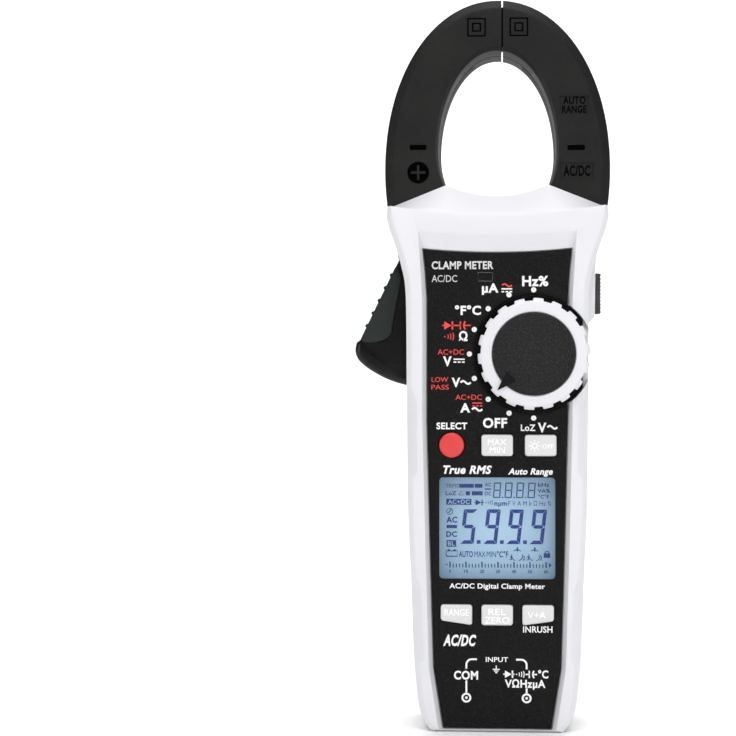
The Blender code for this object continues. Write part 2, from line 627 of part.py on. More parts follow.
def make_keys(looks):
    centre = (-14.3, 0, UPPER_KEY_Z)
    profile = [(0, KEY_FRONT_Y - 0.2), (SELECT_R - 0.9, KEY_FRONT_Y), (SELECT_R, KEY_FRONT_Y + 0.7)]
    profile += [(SELECT_R, KEY_FLANGE_Y), (SELECT_R + KEY_FLANGE, KEY_FLANGE_Y)]
    profile += [(SELECT_R + KEY_FLANGE, KEY_BACK_Y), (0, KEY_BACK_Y)]
    select = turned("select_key", profile, centre, "Y", 28, looks["red"])
    pivot_at((centre[0], KEY_FRONT_Y, centre[2]), select)
    for name, spec in key_layout().items():
        key = loft(name, [
            (KEY_FRONT_Y, key_outline(grow=-0.5, **spec)),
            (KEY_FRONT_Y + 0.5, key_outline(**spec)),
            (KEY_FLANGE_Y, key_outline(**spec)),
            (KEY_FLANGE_Y + 0.001, key_outline(grow=KEY_FLANGE, **spec)),
            (KEY_BACK_Y, key_outline(grow=KEY_FLANGE, **spec)),
        ], looks["key"])
        pivot_at((spec["cx"], KEY_FRONT_Y, spec["cz"]), key)
    (y0, y1), (z0, z1), x = SIDE_BUTTON_Y, SIDE_BUTTON_Z, SIDE_BUTTON_INNER_X
    ribs = [(SIDE_BUTTON_X + SIDE_BUTTON_RIB * (i % 2), z0 + (z1 - z0) * i / 16) for i in range(17)]
    button = prism("side_button", [(x, z0)] + ribs + [(x, z1)], y0, y1, looks["rubber"])
    fuse(button, box("side_button_flange", (x - 1.1, y0, z0), (x + 0.2, y1, z1)))
    pivot_at((31.0, (y0 + y1) / 2, (z0 + z1) / 2), button)


# ---------------------------------------------------------------- knob

def toothed_outline(radius, depth):
    points = []
    for i in range(KNOB_TEETH):
        start = 360 * i / KNOB_TEETH
        for turn, r in ((0, radius - depth), (6.4, radius - depth), (8.0, radius), (18.4, radius)):
            angle = math.radians(start + turn)
            points.append((KNOB[0] + r * math.cos(angle), KNOB[1] + r * math.sin(angle)))
    return points


def make_knob(looks):
    ring = loft("knob_ring", [
        (KNOB_FRONT_Y, arc(KNOB, 15.6, 0, 355, 71)),
        (KNOB_FRONT_Y + 0.9, arc(KNOB, KNOB_R - TOOTH_DEPTH, 0, 355, 71)),
        (KNOB_FRONT_Y + 0.91, toothed_outline(KNOB_R - 0.3, TOOTH_DEPTH - 0.3)),
        (KNOB_FRONT_Y + 1.6, toothed_outline(KNOB_R, TOOTH_DEPTH)),
        (KNOB_BACK_Y, toothed_outline(KNOB_R, TOOTH_DEPTH)),
    ], looks["white"])
    middle = (KNOB[0], 0, KNOB[1])
    carve(ring, rod("cap_seat", CAP_R + GAP, (KNOB[0], -25, KNOB[1]), CAP_SEAT_Y + 25, "Y", 48))
    carve(ring, rod("ring_bore", SHAFT_R + GAP, (KNOB[0], -25, KNOB[1]), 14, "Y", 24))
    cap_back = CAP_SEAT_Y - GAP
    profile = [(0, CAP_FRONT_Y), (CAP_R - 0.5, CAP_FRONT_Y), (CAP_R, CAP_FRONT_Y + 0.5)]
    cap = turned("knob_cap", profile + [(CAP_R, cap_back), (0, cap_back)], middle, "Y", 48, looks["black"])
    turn = math.radians(POINTER_ANGLE)
    along, across = Vector((math.cos(turn), math.sin(turn))), Vector((-math.sin(turn), math.cos(turn)))
    base, side = along * POINTER_BASE_R, across * POINTER_HALF_W
    corners = [along * POINTER_TIP_R, base + side, base - side]
    peak = [(KNOB[0] + c.x, KNOB[1] + c.y) for c in corners]
    fuse(cap, prism("pointer", peak, POINTER_Y, KNOB_FRONT_Y - GAP))
    shaft = rod("knob_shaft", SHAFT_R, (KNOB[0], CAP_SEAT_Y, KNOB[1]), 7.2, "Y", 20, looks["white"])
    rotor = rod("range_rotor", ROTOR_R, (KNOB[0], ROTOR_Y, KNOB[1]), 1.6, "Y", 32, looks["white"])
    sweep = arc(KNOB, 10.5, 20, 160, 12) + arc(KNOB, 6.0, 160, 20, 12)
    wiper = prism("range_wiper", sweep, -10.2, -9.8, looks["brass"])
    pivot_at(middle, ring, cap, shaft, rotor, wiper)
    profile = [(3.4, -14.4), (4.9, -14.4), (4.9, -13.3), (3.4, -13.3)]
    turned("knob_seal", profile, middle, "Y", 24, looks["rubber"], ring=True)
    bent = [(-3.4, 112.0), (-2.9, 112.0), (-1.5, 118.7), (-2.9, 125.4), (-3.4, 125.4), (-2.1, 118.7)]
    prism("detent_spring", bent, -12.1, -10.3, looks["steel"])


# ---------------------------------------------------------------- jaws

def make_jaw_shells(looks):
    for prefix, side in (("moving_jaw", -1), ("fixed_jaw", 1)):
        for half, facing in (("front_shell", -1), ("rear_shell", 1)):
            name = f"{prefix}_{half}"
            share = 1.0 if facing < 0 else 0.0
            edge = tuple(share * draft for draft in JAW_DRAFT)
            face = tuple(grow + bevel for grow, bevel in zip(edge, JAW_INNER_BEVEL))
            middle = tuple(draft / 2 for draft in JAW_DRAFT)
            shell = loft(name, [
                (facing * JAW_Y, jaw_outline(side, JAW_BEVEL, face)),
                (facing * (JAW_Y - JAW_BEVEL_DEPTH), jaw_outline(side, 0.0, edge)),
                (facing * PARTING, jaw_outline(side, 0.0, middle)),
            ], looks["black"])
            tip = JAW_SPLIT_X + side * JAW_TIP_GAP / 2
            if side < 0:
                reach = tip + JAW_TIP_GAP + TONGUE_REACH
                fuse(shell, box(f"{name}_tip_tongue", (tip - 0.5, facing * PARTING, TONGUE_Z[0]),
                                (reach, facing * TONGUE_Y, TONGUE_Z[1])))
            else:
                reach = tip + TONGUE_REACH + GAP
                carve(shell, box(f"{name}_tip_groove", (tip - 1, -facing, GROOVE_Z[0]),
                                 (reach, facing * (TONGUE_Y + GAP), GROOVE_Z[1])))
            pocket = prism(f"{name}_pocket", core_outline(side, GAP), -facing * 1.0, facing * (CORE_Y + GAP))
            carve(shell, pocket)
            if side < 0:
                tongue = [(-34.0, 146.0), (-26.3, 146.0), (-26.3, 151.9), (-34.0, 151.9)]
                carve(shell, prism(f"{name}_tongue_slot", tongue, -facing, facing * (LEVER_Y + GAP)))
                carve(shell, rod(f"{name}_pin_hole", PIN_R + GAP, (PIVOT[0], -13, PIVOT[1]), 26, "Y", 20))
                pivot_at((PIVOT[0], 0, PIVOT[1]), shell)
            else:
                bridge = [(1.5, 151.2), (1.5, 162.8), (-11.8, 162.8), (-10.5, 157.0), (-10.5, 151.2)]
                carve(shell, prism(f"{name}_bridge_pocket", bridge, -facing, facing * (CORE_Y + GAP)))


def make_cores(looks):
    moving = prism("moving_core", core_outline(-1), -CORE_Y, CORE_Y, looks["steel"])
    carve(moving, rod("core_pin_hole", PIN_R + 0.6, (PIVOT[0], -13, PIVOT[1]), 26, "Y", 20))
    pivot_at((PIVOT[0], 0, PIVOT[1]), moving)
    prism("fixed_core", core_outline(1), -CORE_Y, CORE_Y, looks["steel"])
    box("hall_sensor", (-1.7, -6.0, 152.5), (0.8, 6.0, 161.5), looks["gloss"])
    bridge = [(-2.0, 151.5), (-2.0, 162.5), (-11.3, 162.5), (-10.2, 157.0), (-10.2, 151.5)]
    prism("bridge_core", bridge, -CORE_Y, CORE_Y, looks["steel"])


def beside_grip(share, out=0.0):
    """A point at a share of the grip's outer edge from its top, and out from it."""
    top, bottom = Vector(GRIP_TOP), Vector(GRIP_BOTTOM)
    run = bottom - top
    spot = top + run * share + Vector((run.y, -run.x)).normalized() * out
    return (spot.x, spot.y)


def grip_outline(grow=0.0, ribs=True):
    """Rubber grip let into the trigger: ribbed outer edge, bent inner edge."""
    points = [beside_grip(0, grow)]
    for i in range(GRIP_RIBS if ribs else 0):
        middle = GRIP_FIRST_RIB + i * GRIP_RIB_PITCH
        for shift, rise in ((-0.03, 0), (-0.015, GRIP_RIB_H), (0.015, GRIP_RIB_H), (0.03, 0)):
            points.append(beside_grip(middle + shift, rise + grow))
    points.append(beside_grip(1, grow))
    inner = [(-43.2, 122.9), (-41.9, 122.4), (-38.8, 122.5), (-35.3, 123.7), (-33.7, 125.5), (-33.5, 127.5)]
    inner += [(-31.7, 137.2), (-30.7, 142.8), (-31.3, 145.6)]
    shift = [(-0.3, -1), (0, -1), (0, -1), (0.5, -0.85), (1, -0.3), (1, 0), (1, 0), (1, 0.2), (0.8, 0.6)]
    return points + [(x + dx * grow, z + dz * grow) for (x, z), (dx, dz) in zip(inner, shift)]


def make_trigger(looks):
    outline = [(-30.9, 150.2), (-44.0, 123.3), (-45.0, 122.6), (-45.4, 121.4), (-45.6, 119.9), (-45.2, 118.2)]
    outline += [(-44.0, 116.3), (-40.9, 113.8), (-36.3, 111.2), (-32.2, 109.6), (-28.7, 108.7), (-26.2, 108.4)]
    outline += [(-25.2, 125.0), (-25.4, 146.9), (-26.6, 147.2), (-26.6, 151.5), (-30.4, 151.5)]
    lever = prism("trigger_lever", outline, -LEVER_Y, LEVER_Y, looks["gloss"])
    inside = GRIP_SKIN + GAP
    seat = grip_outline(grow=GAP, ribs=False)
    depth = LEVER_Y + GAP - inside
    carve(lever, prism("grip_seat_front", seat, -9, -depth), prism("grip_seat_rear", seat, depth, 9))
    corners = [(-0.012, 4), (-0.012, 0), (0.0, -inside), (1.045, -inside), (1.045, -0.8), (1.015, 0.1), (1.015, 4)]
    strip = [beside_grip(share, out) for share, out in corners]
    carve(lever, prism("grip_strip_seat", strip, -9, 9))
    grip = prism("trigger_grip", grip_outline(), -LEVER_Y - 0.3, LEVER_Y + 0.3, looks["grip"])
    void = [beside_grip(-0.2, -GRIP_SKIN), beside_grip(1.2, -GRIP_SKIN), (-20.0, 118.0), (-20.0, 150.0)]
    cheek = LEVER_Y + 0.3 - GRIP_SKIN
    carve(grip, prism("grip_void", void, -cheek, cheek))
    pivot_at((PIVOT[0], 0, PIVOT[1]), lever, grip)
    rod("jaw_pivot_pin", PIN_R, (PIVOT[0], -14.5, PIVOT[1]), 29.0, "Y", 20, looks["steel"])
    coil("jaw_return_spring", 5.6, 0.45, (PIVOT[0], 12.0, PIVOT[1]), 2.6, 2.5, looks["steel"])


# ---------------------------------------------------------------- battery, sockets, screws

def make_battery(looks):
    cell = box("battery", (-13.1, -3.0, 28.0), (13.1, 14.0, 74.0), looks["battery"])
    for x, radius in ((-6.3, 2.9), (6.3, 3.9)):
        fuse(cell, rod(f"battery_terminal_{int(x)}", radius, (x, 5.5, 73.5), 2.9, "Z", 20))
    snap = box("battery_snap", (-13.0, -2.0, 74.3), (13.0, 13.0, 79.5), looks["rubber"])
    for x, radius in ((-6.3, 3.2), (6.3, 4.2)):
        carve(snap, rod(f"snap_socket_{int(x)}", radius, (x, 5.5, 73.0), 4.0, "Z", 20))
    cover = box("battery_cover", (-COVER_X, COVER_Y, COVER_Z[0]), (COVER_X, REAR_Y, COVER_Z[1]), looks["white"])
    carve(cover, rod("cover_hole", SCREW_R + GAP, (0, 14, COVER_SCREW_Z), 6, "Y", 16))
    carve(cover, rod("cover_head_hole", SCREW_HEAD_R + GAP, (0, 16.2, COVER_SCREW_Z), 3, "Y", 20))
    ring = rounded_rect(0, (BAY_Z[0] + BAY_Z[1]) / 2, 2 * BAY_X + 3.4, BAY_Z[1] - BAY_Z[0] + 3.0, 1.5)
    gasket = prism("battery_gasket", ring, 14.5, 15.3, looks["rubber"])
    carve(gasket, box("gasket_space", (-BAY_X - 0.3, 13, BAY_Z[0] - 0.3), (BAY_X + 0.3, 17, BAY_Z[1] + 0.3)))
    make_screw("battery_cover_screw", (0, COVER_SCREW_Z), 16.5, 6.4, looks)


def make_screw(name, spot, head_y, length, looks):
    """Pan-head screw along Y with its head to the rear."""
    profile = [(0, head_y - length), (SCREW_R, head_y - length), (SCREW_R, head_y), (SCREW_HEAD_R, head_y)]
    profile += [(SCREW_HEAD_R, head_y + SCREW_HEAD_H), (0, head_y + SCREW_HEAD_H)]
    return turned(name, profile, (spot[0], 0, spot[1]), "Y", 16, looks["steel"])


def make_screws(looks):
    for i, spot in enumerate(SCREWS, 1):
        make_screw(f"housing_screw_{i}", spot, SCREW_HEAD_Y, SCREW_LENGTH, looks)


def make_sockets(looks):
    x = SOCKET_BLOCK_X
    block = box("socket_block", (-x, -SHROUD_R, 0.0), (x, SHROUD_R, SOCKET_BLOCK_Z), looks["black"])
    for side in (-1, 1):
        fuse(block, rod(f"shroud_{side}", SHROUD_R - 0.01, (side * SOCKET_X, 0, 2.0), SOCKET_DEPTH, "Z", 32))
    for side, name in ((-1, "com_contact"), (1, "input_contact")):
        carve(block, rod(f"socket_well_{side}", SOCKET_R, (side * SOCKET_X, 0, -1), SOCKET_DEPTH, "Z", 32))
        carve(block, rod(f"contact_hole_{side}", CONTACT_HOLE_R, (side * SOCKET_X, 0, 10), 15, "Z", 20))
        tube = [(CONTACT_INNER_R, 5.0), (CONTACT_OUTER_R, 5.0), (CONTACT_OUTER_R, 23.8), (CONTACT_INNER_R, 23.8)]
        turned(name, tube, (side * SOCKET_X, 0, 0), "Z", 20, looks["brass"], ring=True)


def main():
    reset_scene()
    looks = make_looks()
    make_front_housing(looks)
    make_rear_housing(looks)
    make_faceplate(looks)
    make_display(looks)
    make_board(looks)
    make_keys(looks)
    make_knob(looks)
    make_jaw_shells(looks)
    make_cores(looks)
    make_trigger(looks)
    make_battery(looks)
    make_screws(looks)
    make_sockets(looks)


main()
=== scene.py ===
"""Looks of the clamp meter: fine shells, printing, materials, lights and camera.

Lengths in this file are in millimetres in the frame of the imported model: the origin is the middle of
the bottom end, +Z points up to the jaws and the front faces -Y. MM turns them into metres.
"""
import json
import math

import bmesh
import bpy
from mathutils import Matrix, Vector

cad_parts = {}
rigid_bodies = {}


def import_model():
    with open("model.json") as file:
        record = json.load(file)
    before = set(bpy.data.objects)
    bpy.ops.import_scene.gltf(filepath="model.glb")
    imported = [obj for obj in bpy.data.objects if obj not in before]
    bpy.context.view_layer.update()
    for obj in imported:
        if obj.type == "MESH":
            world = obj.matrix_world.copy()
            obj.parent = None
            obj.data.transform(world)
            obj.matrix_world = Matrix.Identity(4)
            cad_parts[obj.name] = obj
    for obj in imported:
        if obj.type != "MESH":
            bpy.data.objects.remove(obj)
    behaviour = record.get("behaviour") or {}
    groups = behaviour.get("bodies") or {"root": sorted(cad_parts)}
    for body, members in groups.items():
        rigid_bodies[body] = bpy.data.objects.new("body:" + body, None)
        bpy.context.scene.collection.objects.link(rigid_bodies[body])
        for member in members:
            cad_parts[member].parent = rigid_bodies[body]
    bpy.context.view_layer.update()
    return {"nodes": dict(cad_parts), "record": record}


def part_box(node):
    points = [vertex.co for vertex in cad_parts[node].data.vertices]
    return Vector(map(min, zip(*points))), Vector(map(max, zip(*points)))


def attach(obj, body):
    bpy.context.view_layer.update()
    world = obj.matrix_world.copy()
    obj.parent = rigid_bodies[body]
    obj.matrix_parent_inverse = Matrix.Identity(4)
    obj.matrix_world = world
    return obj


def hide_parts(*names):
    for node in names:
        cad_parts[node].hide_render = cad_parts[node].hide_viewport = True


for old in list(bpy.data.objects):
    bpy.data.objects.remove(old, do_unlink=True)

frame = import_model()

MM = 0.001
GAP = 0.3


def low(node):
    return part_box(node)[0] / MM


def high(node):
    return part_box(node)[1] / MM


def centre_of(node, axis):
    return (getattr(low(node), axis) + getattr(high(node), axis)) / 2


# Depths and driving sizes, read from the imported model
BEZEL_Y = low("front_housing").y
REAR_Y = high("rear_housing").y
PLATE_Y = low("sensor_window").y - 0.1
PLATE_BACK_Y = PLATE_Y + 1.4
DECK_Y = -14.9
PARTING = GAP / 2
JAW_Y = high("fixed_jaw_rear_shell").y
JAW_PLAY = 0.4
KNOB = (centre_of("range_rotor", "x"), centre_of("range_rotor", "z"))
KNOB_HUB = (KNOB[0], 0, KNOB[1])
KNOB_R = (high("knob_ring").x - low("knob_ring").x) / 2
KNOB_FRONT_Y = low("knob_ring").y
CAP_R = (high("knob_cap").x - low("knob_cap").x) / 2
POINTER_Y = low("knob_cap").y
PIVOT = (centre_of("jaw_pivot_pin", "x"), centre_of("jaw_pivot_pin", "z"))
KEY_FRONT_Y = low("zero_key").y
LCD_Z = centre_of("lcd_panel", "z")
LCD_FRONT_Y = low("lcd_panel").y
LCD_W, LCD_H = 36.4, 32.0

# Body outline: (height, half width) up one side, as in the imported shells
BODY_SIDE = [
    (0.0, 20.6), (3.2, 23.1), (6.9, 24.4), (10.7, 25.1), (26.0, 26.4), (48.0, 27.2), (71.0, 28.2),
    (108.0, 28.6), (137.0, 28.9), (146.8, 30.4), (154.4, 32.7), (158.0, 34.0), (162.0, 35.0),
]
SHOULDER_X = 34.9
COLLAR_INNER_X = 16.1
COLLAR_MIDDLE_Z, COLLAR_PEAK_Z, COLLAR_END_Z = 168.8, 172.4, 164.9
WALL = 2.2
DISH_R = 18.9
RIM_RISE = 1.0

# The long side edges: a narrow facet on the bumpers, a wide one in the hollows between them
FACET_NARROW, FACET_WIDE = 1.9, 3.4
REAR_FACET = 2.4
EDGE = 0.2
HOLLOWS = [(20.6, 48.6), (79.4, 107.6)]
HOLLOW_LOW_RAMP, HOLLOW_HIGH_RAMP = 2.2, 4.0

JAW_OUTER = dict(a=35.75, b=53.8, z=177.5)
JAW_INNER = dict(a=18.3, b=31.5, b_low=22.0, z=183.0)
JAW_POWER, JAW_FOOT_ANGLE = 0.97, -12.0
JAW_INNER_BEVEL, JAW_DRAFT = (0.7, 1.8), (0.5, 0.8)
TONGUE_REACH, TONGUE_Y = 0.6, 5.0
TONGUE_Z, GROOVE_Z = (217.1, 229.8), (216.7, 230.4)
JAW_STEPS = 44
JAW_SPLIT_X, JAW_TIP_GAP = 1.6, 0.5
JAW_BEVEL, JAW_BEVEL_DEPTH = 2.7, 1.9
JAW_CHAMFER = [(-0.12, 0.0), (0.0, 0.05), (0.1, 0.18), (0.88, 0.93), (0.97, 1.06), (1.0, 1.25)]
MARK_FLOOR = 0.01
BOLD, MEDIUM, LIGHT, SLANT = 0.035, 0.03, 0.0, 0.25
KEY_WEIGHT, WORD_WEIGHT = 0.006, 0.022
HUB_R = 8.7
LEVER_Y = 7.0


# ---------------------------------------------------------------- mesh tools

def add_object(name, data):
    made = bpy.data.objects.new(name, data)
    bpy.context.scene.collection.objects.link(made)
    return made


def link(name, mesh_data, look, smooth=32.0):
    """An object made from a finished bmesh, with outward normals."""
    bmesh.ops.recalc_face_normals(mesh_data, faces=mesh_data.faces)
    mesh = bpy.data.meshes.new(name)
    mesh_data.to_mesh(mesh)
    mesh_data.free()
    made = add_object(name, mesh)
    if look is not None:
        mesh.materials.append(look)
    if smooth:
        mesh.shade_smooth()
        mesh.set_sharp_from_angle(angle=math.radians(smooth))
    return made


def rings_solid(name, rings, look=None, smooth=32.0):
    """A closed solid through rings of 3-D points with equal counts, capped at both ends."""
    mesh_data = bmesh.new()
    made = [[mesh_data.verts.new(Vector(p) * MM) for p in ring] for ring in rings]
    count = len(made[0])
    for near, far in zip(made, made[1:]):
        for i in range(count):
            j = (i + 1) % count
            mesh_data.faces.new((near[i], near[j], far[j], far[i]))
    bmesh.ops.triangulate(mesh_data, faces=mesh_data.faces)
    mesh_data.faces.new(made[0])
    mesh_data.faces.new(made[-1])
    return link(name, mesh_data, look, smooth)


def flat_ring(outline, y):
    return [(x, y, z) for x, z in outline]


def loft(name, sections, look=None, smooth=32.0):
    return rings_solid(name, [flat_ring(outline, y) for y, outline in sections], look, smooth)


def prism(outline, y0, y1):
    """A straight solid for cutting or joining, as are box_solid and rod."""
    return loft("tool", [(y0, outline), (y1, outline)])


def box_solid(corner, opposite):
    x0, y0, z0 = corner
    x1, y1, z1 = opposite
    return prism([(x0, z0), (x1, z0), (x1, z1), (x0, z1)], y0, y1)


def grown(outline, amount):
    """The outline with every corner moved out along its mitre."""
    area = sum(a[0] * b[1] - b[0] * a[1] for a, b in zip(outline, outline[1:] + outline[:1]))
    side = 1 if area > 0 else -1
    moved = []
    for i, point in enumerate(outline):
        here = Vector(point)
        before = (here - Vector(outline[i - 1])).normalized()
        after = (Vector(outline[(i + 1) % len(outline)]) - here).normalized()
        n0, n1 = Vector((before.y, -before.x)), Vector((after.y, -after.x))
        mitre = (n0 + n1).normalized()
        reach = amount * side / max(0.45, mitre.dot(n0))
        moved.append(tuple(here + mitre * reach))
    return moved


def soft_prism(name, outline, y0, y1, round0, round1=0.0, look=None, steps=4, smooth=32.0):
    """A prism with its edges rounded by round0 at y0 and by round1 at y1."""
    facing = 1 if y1 > y0 else -1
    turns = [math.pi / 2 * i / steps for i in range(steps + 1)]
    curve = [(1 - math.cos(turn), 1 - math.sin(turn)) for turn in turns]
    sections = [(y0 + facing * round0 * c, grown(outline, -round0 * s)) for c, s in curve]
    if round1:
        sections += [(y1 - facing * round1 * s, grown(outline, -round1 * c)) for c, s in curve]
    else:
        sections.append((y1, outline))
    return loft(name, sections, look, smooth)


def turned(name, profile, centre, axis, segments, look=None, ring=False):
    """Revolve (radius, height) points about an axis through centre."""
    mesh_data = bmesh.new()
    turns = [2 * math.pi * i / segments for i in range(segments)]

    def place(radius, height, turn):
        u, v = radius * math.cos(turn), radius * math.sin(turn)
        local = {"X": (height, u, v), "Y": (u, height, v), "Z": (u, v, height)}[axis]
        return (Vector(centre) + Vector(local)) * MM

    loops = []
    for radius, height in profile:
        if radius == 0:
            loops.append([mesh_data.verts.new(place(0, height, 0))] * segments)
        else:
            loops.append([mesh_data.verts.new(place(radius, height, turn)) for turn in turns])
    pairs = list(zip(loops, loops[1:]))
    if ring:
        pairs.append((loops[-1], loops[0]))
    for near, far in pairs:
        for i in range(segments):
            j = (i + 1) % segments
            mesh_data.faces.new(list(dict.fromkeys((near[i], near[j], far[j], far[i]))))
    if not ring:
        for (radius, _), loop in ((profile[0], loops[0]), (profile[-1], loops[-1])):
            if radius > 0:
                mesh_data.faces.new(loop)
    return link(name, mesh_data, look)


def rod(radius, start, length, axis, segments):
    return turned("tool", [(radius, 0), (radius, length)], start, axis, segments)


def apply_booleans(target, steps, smooth=32.0):
    """Cut or join the listed (operation, piece) pairs, keep the result and remove the pieces."""
    for operation, piece in steps:
        step = target.modifiers.new(operation.title(), "BOOLEAN")
        step.operation = operation
        step.object = piece
        step.solver = "EXACT"
    bpy.context.view_layer.update()
    evaluated = target.evaluated_get(bpy.context.evaluated_depsgraph_get())
    mesh = bpy.data.meshes.new_from_object(evaluated)
    target.modifiers.clear()
    target.data = mesh
    for _, piece in steps:
        bpy.data.objects.remove(piece, do_unlink=True)
    mesh.shade_smooth()
    mesh.set_sharp_from_angle(angle=math.radians(smooth))
    return target


def cuts(*pieces):
    return [("DIFFERENCE", piece) for piece in pieces]


def joins(*pieces):
    return [("UNION", piece) for piece in pieces]


def arc(centre, radius, start, end, steps):
    turns = [math.radians(start + (end - start) * i / steps) for i in range(steps + 1)]
    return [(centre[0] + radius * math.cos(t), centre[1] + radius * math.sin(t)) for t in turns]


def rounded_rect(cx, cz, width, height, radius, steps=6):
    x, z = width / 2 - radius, height / 2 - radius
    points = []
    for i, (sx, sz) in enumerate(((1, 1), (-1, 1), (-1, -1), (1, -1))):
        points += arc((cx + sx * x, cz + sz * z), radius, 90 * i, 90 * i + 90, steps)
    return points


def curve_through(points, per_span):
    """Catmull-Rom curve through 2-D points."""
    ends = [points[0]] + list(points) + [points[-1]]
    made = []
    for p0, p1, p2, p3 in zip(ends, ends[1:], ends[2:], ends[3:]):
        for i in range(per_span):
            t = i / per_span
            made.append(tuple(
                0.5 * (2 * b + (c - a) * t + (2 * a - 5 * b + 4 * c - d) * t * t
                       + (3 * b - a - 3 * c + d) * t ** 3)
                for a, b, c, d in zip(p0, p1, p2, p3)))
    return made + [tuple(points[-1])]


# ---------------------------------------------------------------- materials

def shader_of(material):
    return material.node_tree.nodes["Principled BSDF"]


def new_look(name, colour, roughness, metallic=0.0, **sockets):
    made = bpy.data.materials.new(name)
    made.use_nodes = True
    shader = shader_of(made)
    shader.inputs["Base Color"].default_value = (*colour, 1.0)
    shader.inputs["Roughness"].default_value = roughness
    shader.inputs["Metallic"].default_value = metallic
    for socket, value in sockets.items():
        shader.inputs[socket.replace("_", " ")].default_value = value
    return made


def add_node(material, kind, **inputs):
    node = material.node_tree.nodes.new(kind)
    for socket, value in inputs.items():
        node.inputs[socket.replace("_", " ")].default_value = value
    return node


def placed_node(material, kind, **inputs):
    """A node whose vector input takes object coordinates."""
    place = add_node(material, "ShaderNodeTexCoord")
    node = add_node(material, kind, **inputs)
    material.node_tree.links.new(place.outputs["Object"], node.inputs["Vector"])
    return node


def ramp_node(material, source, *stops):
    """A colour ramp fed by a socket, through two (position, colour) stops."""
    ramp = material.node_tree.nodes.new("ShaderNodeValToRGB")
    for element, (position, colour) in zip(ramp.color_ramp.elements, stops):
        element.position = position
        element.color = (*colour, 1.0)
    material.node_tree.links.new(source, ramp.inputs["Fac"])
    return ramp.outputs["Color"]


def grain(material, scale, height, detail=3.0, distance=0.0002):
    """Fine moulded grain as a bump, in object coordinates."""
    links = material.node_tree.links
    noise = placed_node(material, "ShaderNodeTexNoise", Scale=scale, Detail=detail, Roughness=0.6)
    bump = add_node(material, "ShaderNodeBump", Strength=height, Distance=distance)
    links.new(noise.outputs["Fac"], bump.inputs["Height"])
    links.new(bump.outputs["Normal"], shader_of(material).inputs["Normal"])
    return noise


def mottle(material, scale, dark, light, socket="Base Color"):
    """Slow variation between two values of a socket: colours, or single numbers."""
    noise = placed_node(material, "ShaderNodeTexNoise", Scale=scale, Detail=4.0, Roughness=0.55)
    if not isinstance(dark, tuple):
        dark, light = (dark,) * 3, (light,) * 3
    varied = ramp_node(material, noise.outputs["Fac"], (0.35, dark), (0.65, light))
    material.node_tree.links.new(varied, shader_of(material).inputs[socket])


def white_plastic():
    look = new_look("white_plastic", (0.715, 0.715, 0.745), 0.42, Specular_IOR_Level=0.35)
    mottle(look, 14.0, (0.705, 0.705, 0.735), (0.73, 0.73, 0.76))
    grain(look, 2600.0, 0.10)
    return look


def black_plastic():
    look = new_look("jaw_black", (0.008, 0.008, 0.008), 0.6, Specular_IOR_Level=0.24)
    mottle(look, 45.0, (0.005, 0.005, 0.005), (0.010, 0.0105, 0.0095))
    grain(look, 1900.0, 0.5)
    return look


def cap_leather():
    """The knob cap's coarse leather grain, with a painted highlight colouring its crests lighter."""
    look = new_look("cap_leather", (0.006, 0.006, 0.006), 0.5, Specular_IOR_Level=0.25)
    noise = grain(look, 2100.0, 1.0, 2.0, 0.0005)
    # painted highlight: the crests of the grain noise are coloured lighter, where light would catch them
    crest_highlight = ramp_node(look, noise.outputs["Fac"], (0.52, (0.005, 0.005, 0.005)), (0.78, (0.05, 0.05, 0.046)))
    look.node_tree.links.new(crest_highlight, shader_of(look).inputs["Base Color"])
    return look


def faceplate_black():
    """Matt black with tiny bright flecks painted in as glints on its textured film."""
    look = new_look("faceplate_film", (0.006, 0.006, 0.006), 0.5, Specular_IOR_Level=0.1)
    # painted glints: bright flecks in the colour stand in for light glancing off the film's texture
    cells = placed_node(look, "ShaderNodeTexVoronoi", Scale=2600.0)
    glint_flecks = ramp_node(look, cells.outputs["Distance"],
                       (0.10, (0.07, 0.07, 0.066)), (0.22, (0.006, 0.006, 0.006)))
    look.node_tree.links.new(glint_flecks, shader_of(look).inputs["Base Color"])
    grain(look, 2300.0, 0.5)
    return look


def rubber(name, colour):
    look = new_look(name, colour, 0.75, Specular_IOR_Level=0.3)
    grain(look, 1500.0, 0.4)
    mottle(look, 60.0, 0.68, 0.84, "Roughness")
    return look


def metal(name, colour, roughness):
    look = new_look(name, colour, roughness, 1.0)
    mottle(look, 220.0, roughness * 0.7, roughness * 1.3, "Roughness")
    grain(look, 900.0, 0.08)
    return look


def plain_grain(name, colour, roughness, scale=1800.0, height=0.15, specular=0.5):
    look = new_look(name, colour, roughness, Specular_IOR_Level=specular)
    mottle(look, 40.0, roughness * 0.85, min(1.0, roughness * 1.15), "Roughness")
    grain(look, scale, height)
    return look


def lcd_painted_glow():
    """Display glass: pale blue, with a painted glow by emission and painted shade darkening it towards its
    edges.
    """
    look = new_look("lcd_painted_glow", (0.30, 0.47, 0.62), 0.35, Specular_IOR_Level=0.1, Emission_Strength=0.30)
    links = look.node_tree.links
    width, height = LCD_W * MM, LCD_H * MM
    shift = placed_node(look, "ShaderNodeMapping", Location=(0, 0, -LCD_Z * MM / height),
                        Scale=(1 / width, 0.0, 1 / height))
    ball = add_node(look, "ShaderNodeTexGradient")
    ball.gradient_type = "SPHERICAL"
    links.new(shift.outputs["Vector"], ball.inputs["Vector"])
    # painted shade: the colour falls off towards the display's edges; the same colour is emitted as a painted
    # glow
    glow_and_edge_shade = ramp_node(look, ball.outputs["Fac"], (0.25, (0.15, 0.24, 0.34)), (0.9, (0.285, 0.42, 0.54)))
    for socket in ("Base Color", "Emission Color"):
        links.new(glow_and_edge_shade, shader_of(look).inputs[socket])
    return look


def window_film():
    """Clear window: almost invisible, with a faint uneven gloss."""
    look = new_look("clear_window", (0.75, 0.85, 0.9), 0.06, Alpha=0.03, Specular_IOR_Level=0.15)
    mottle(look, 60.0, 0.04, 0.12, "Roughness")
    return look


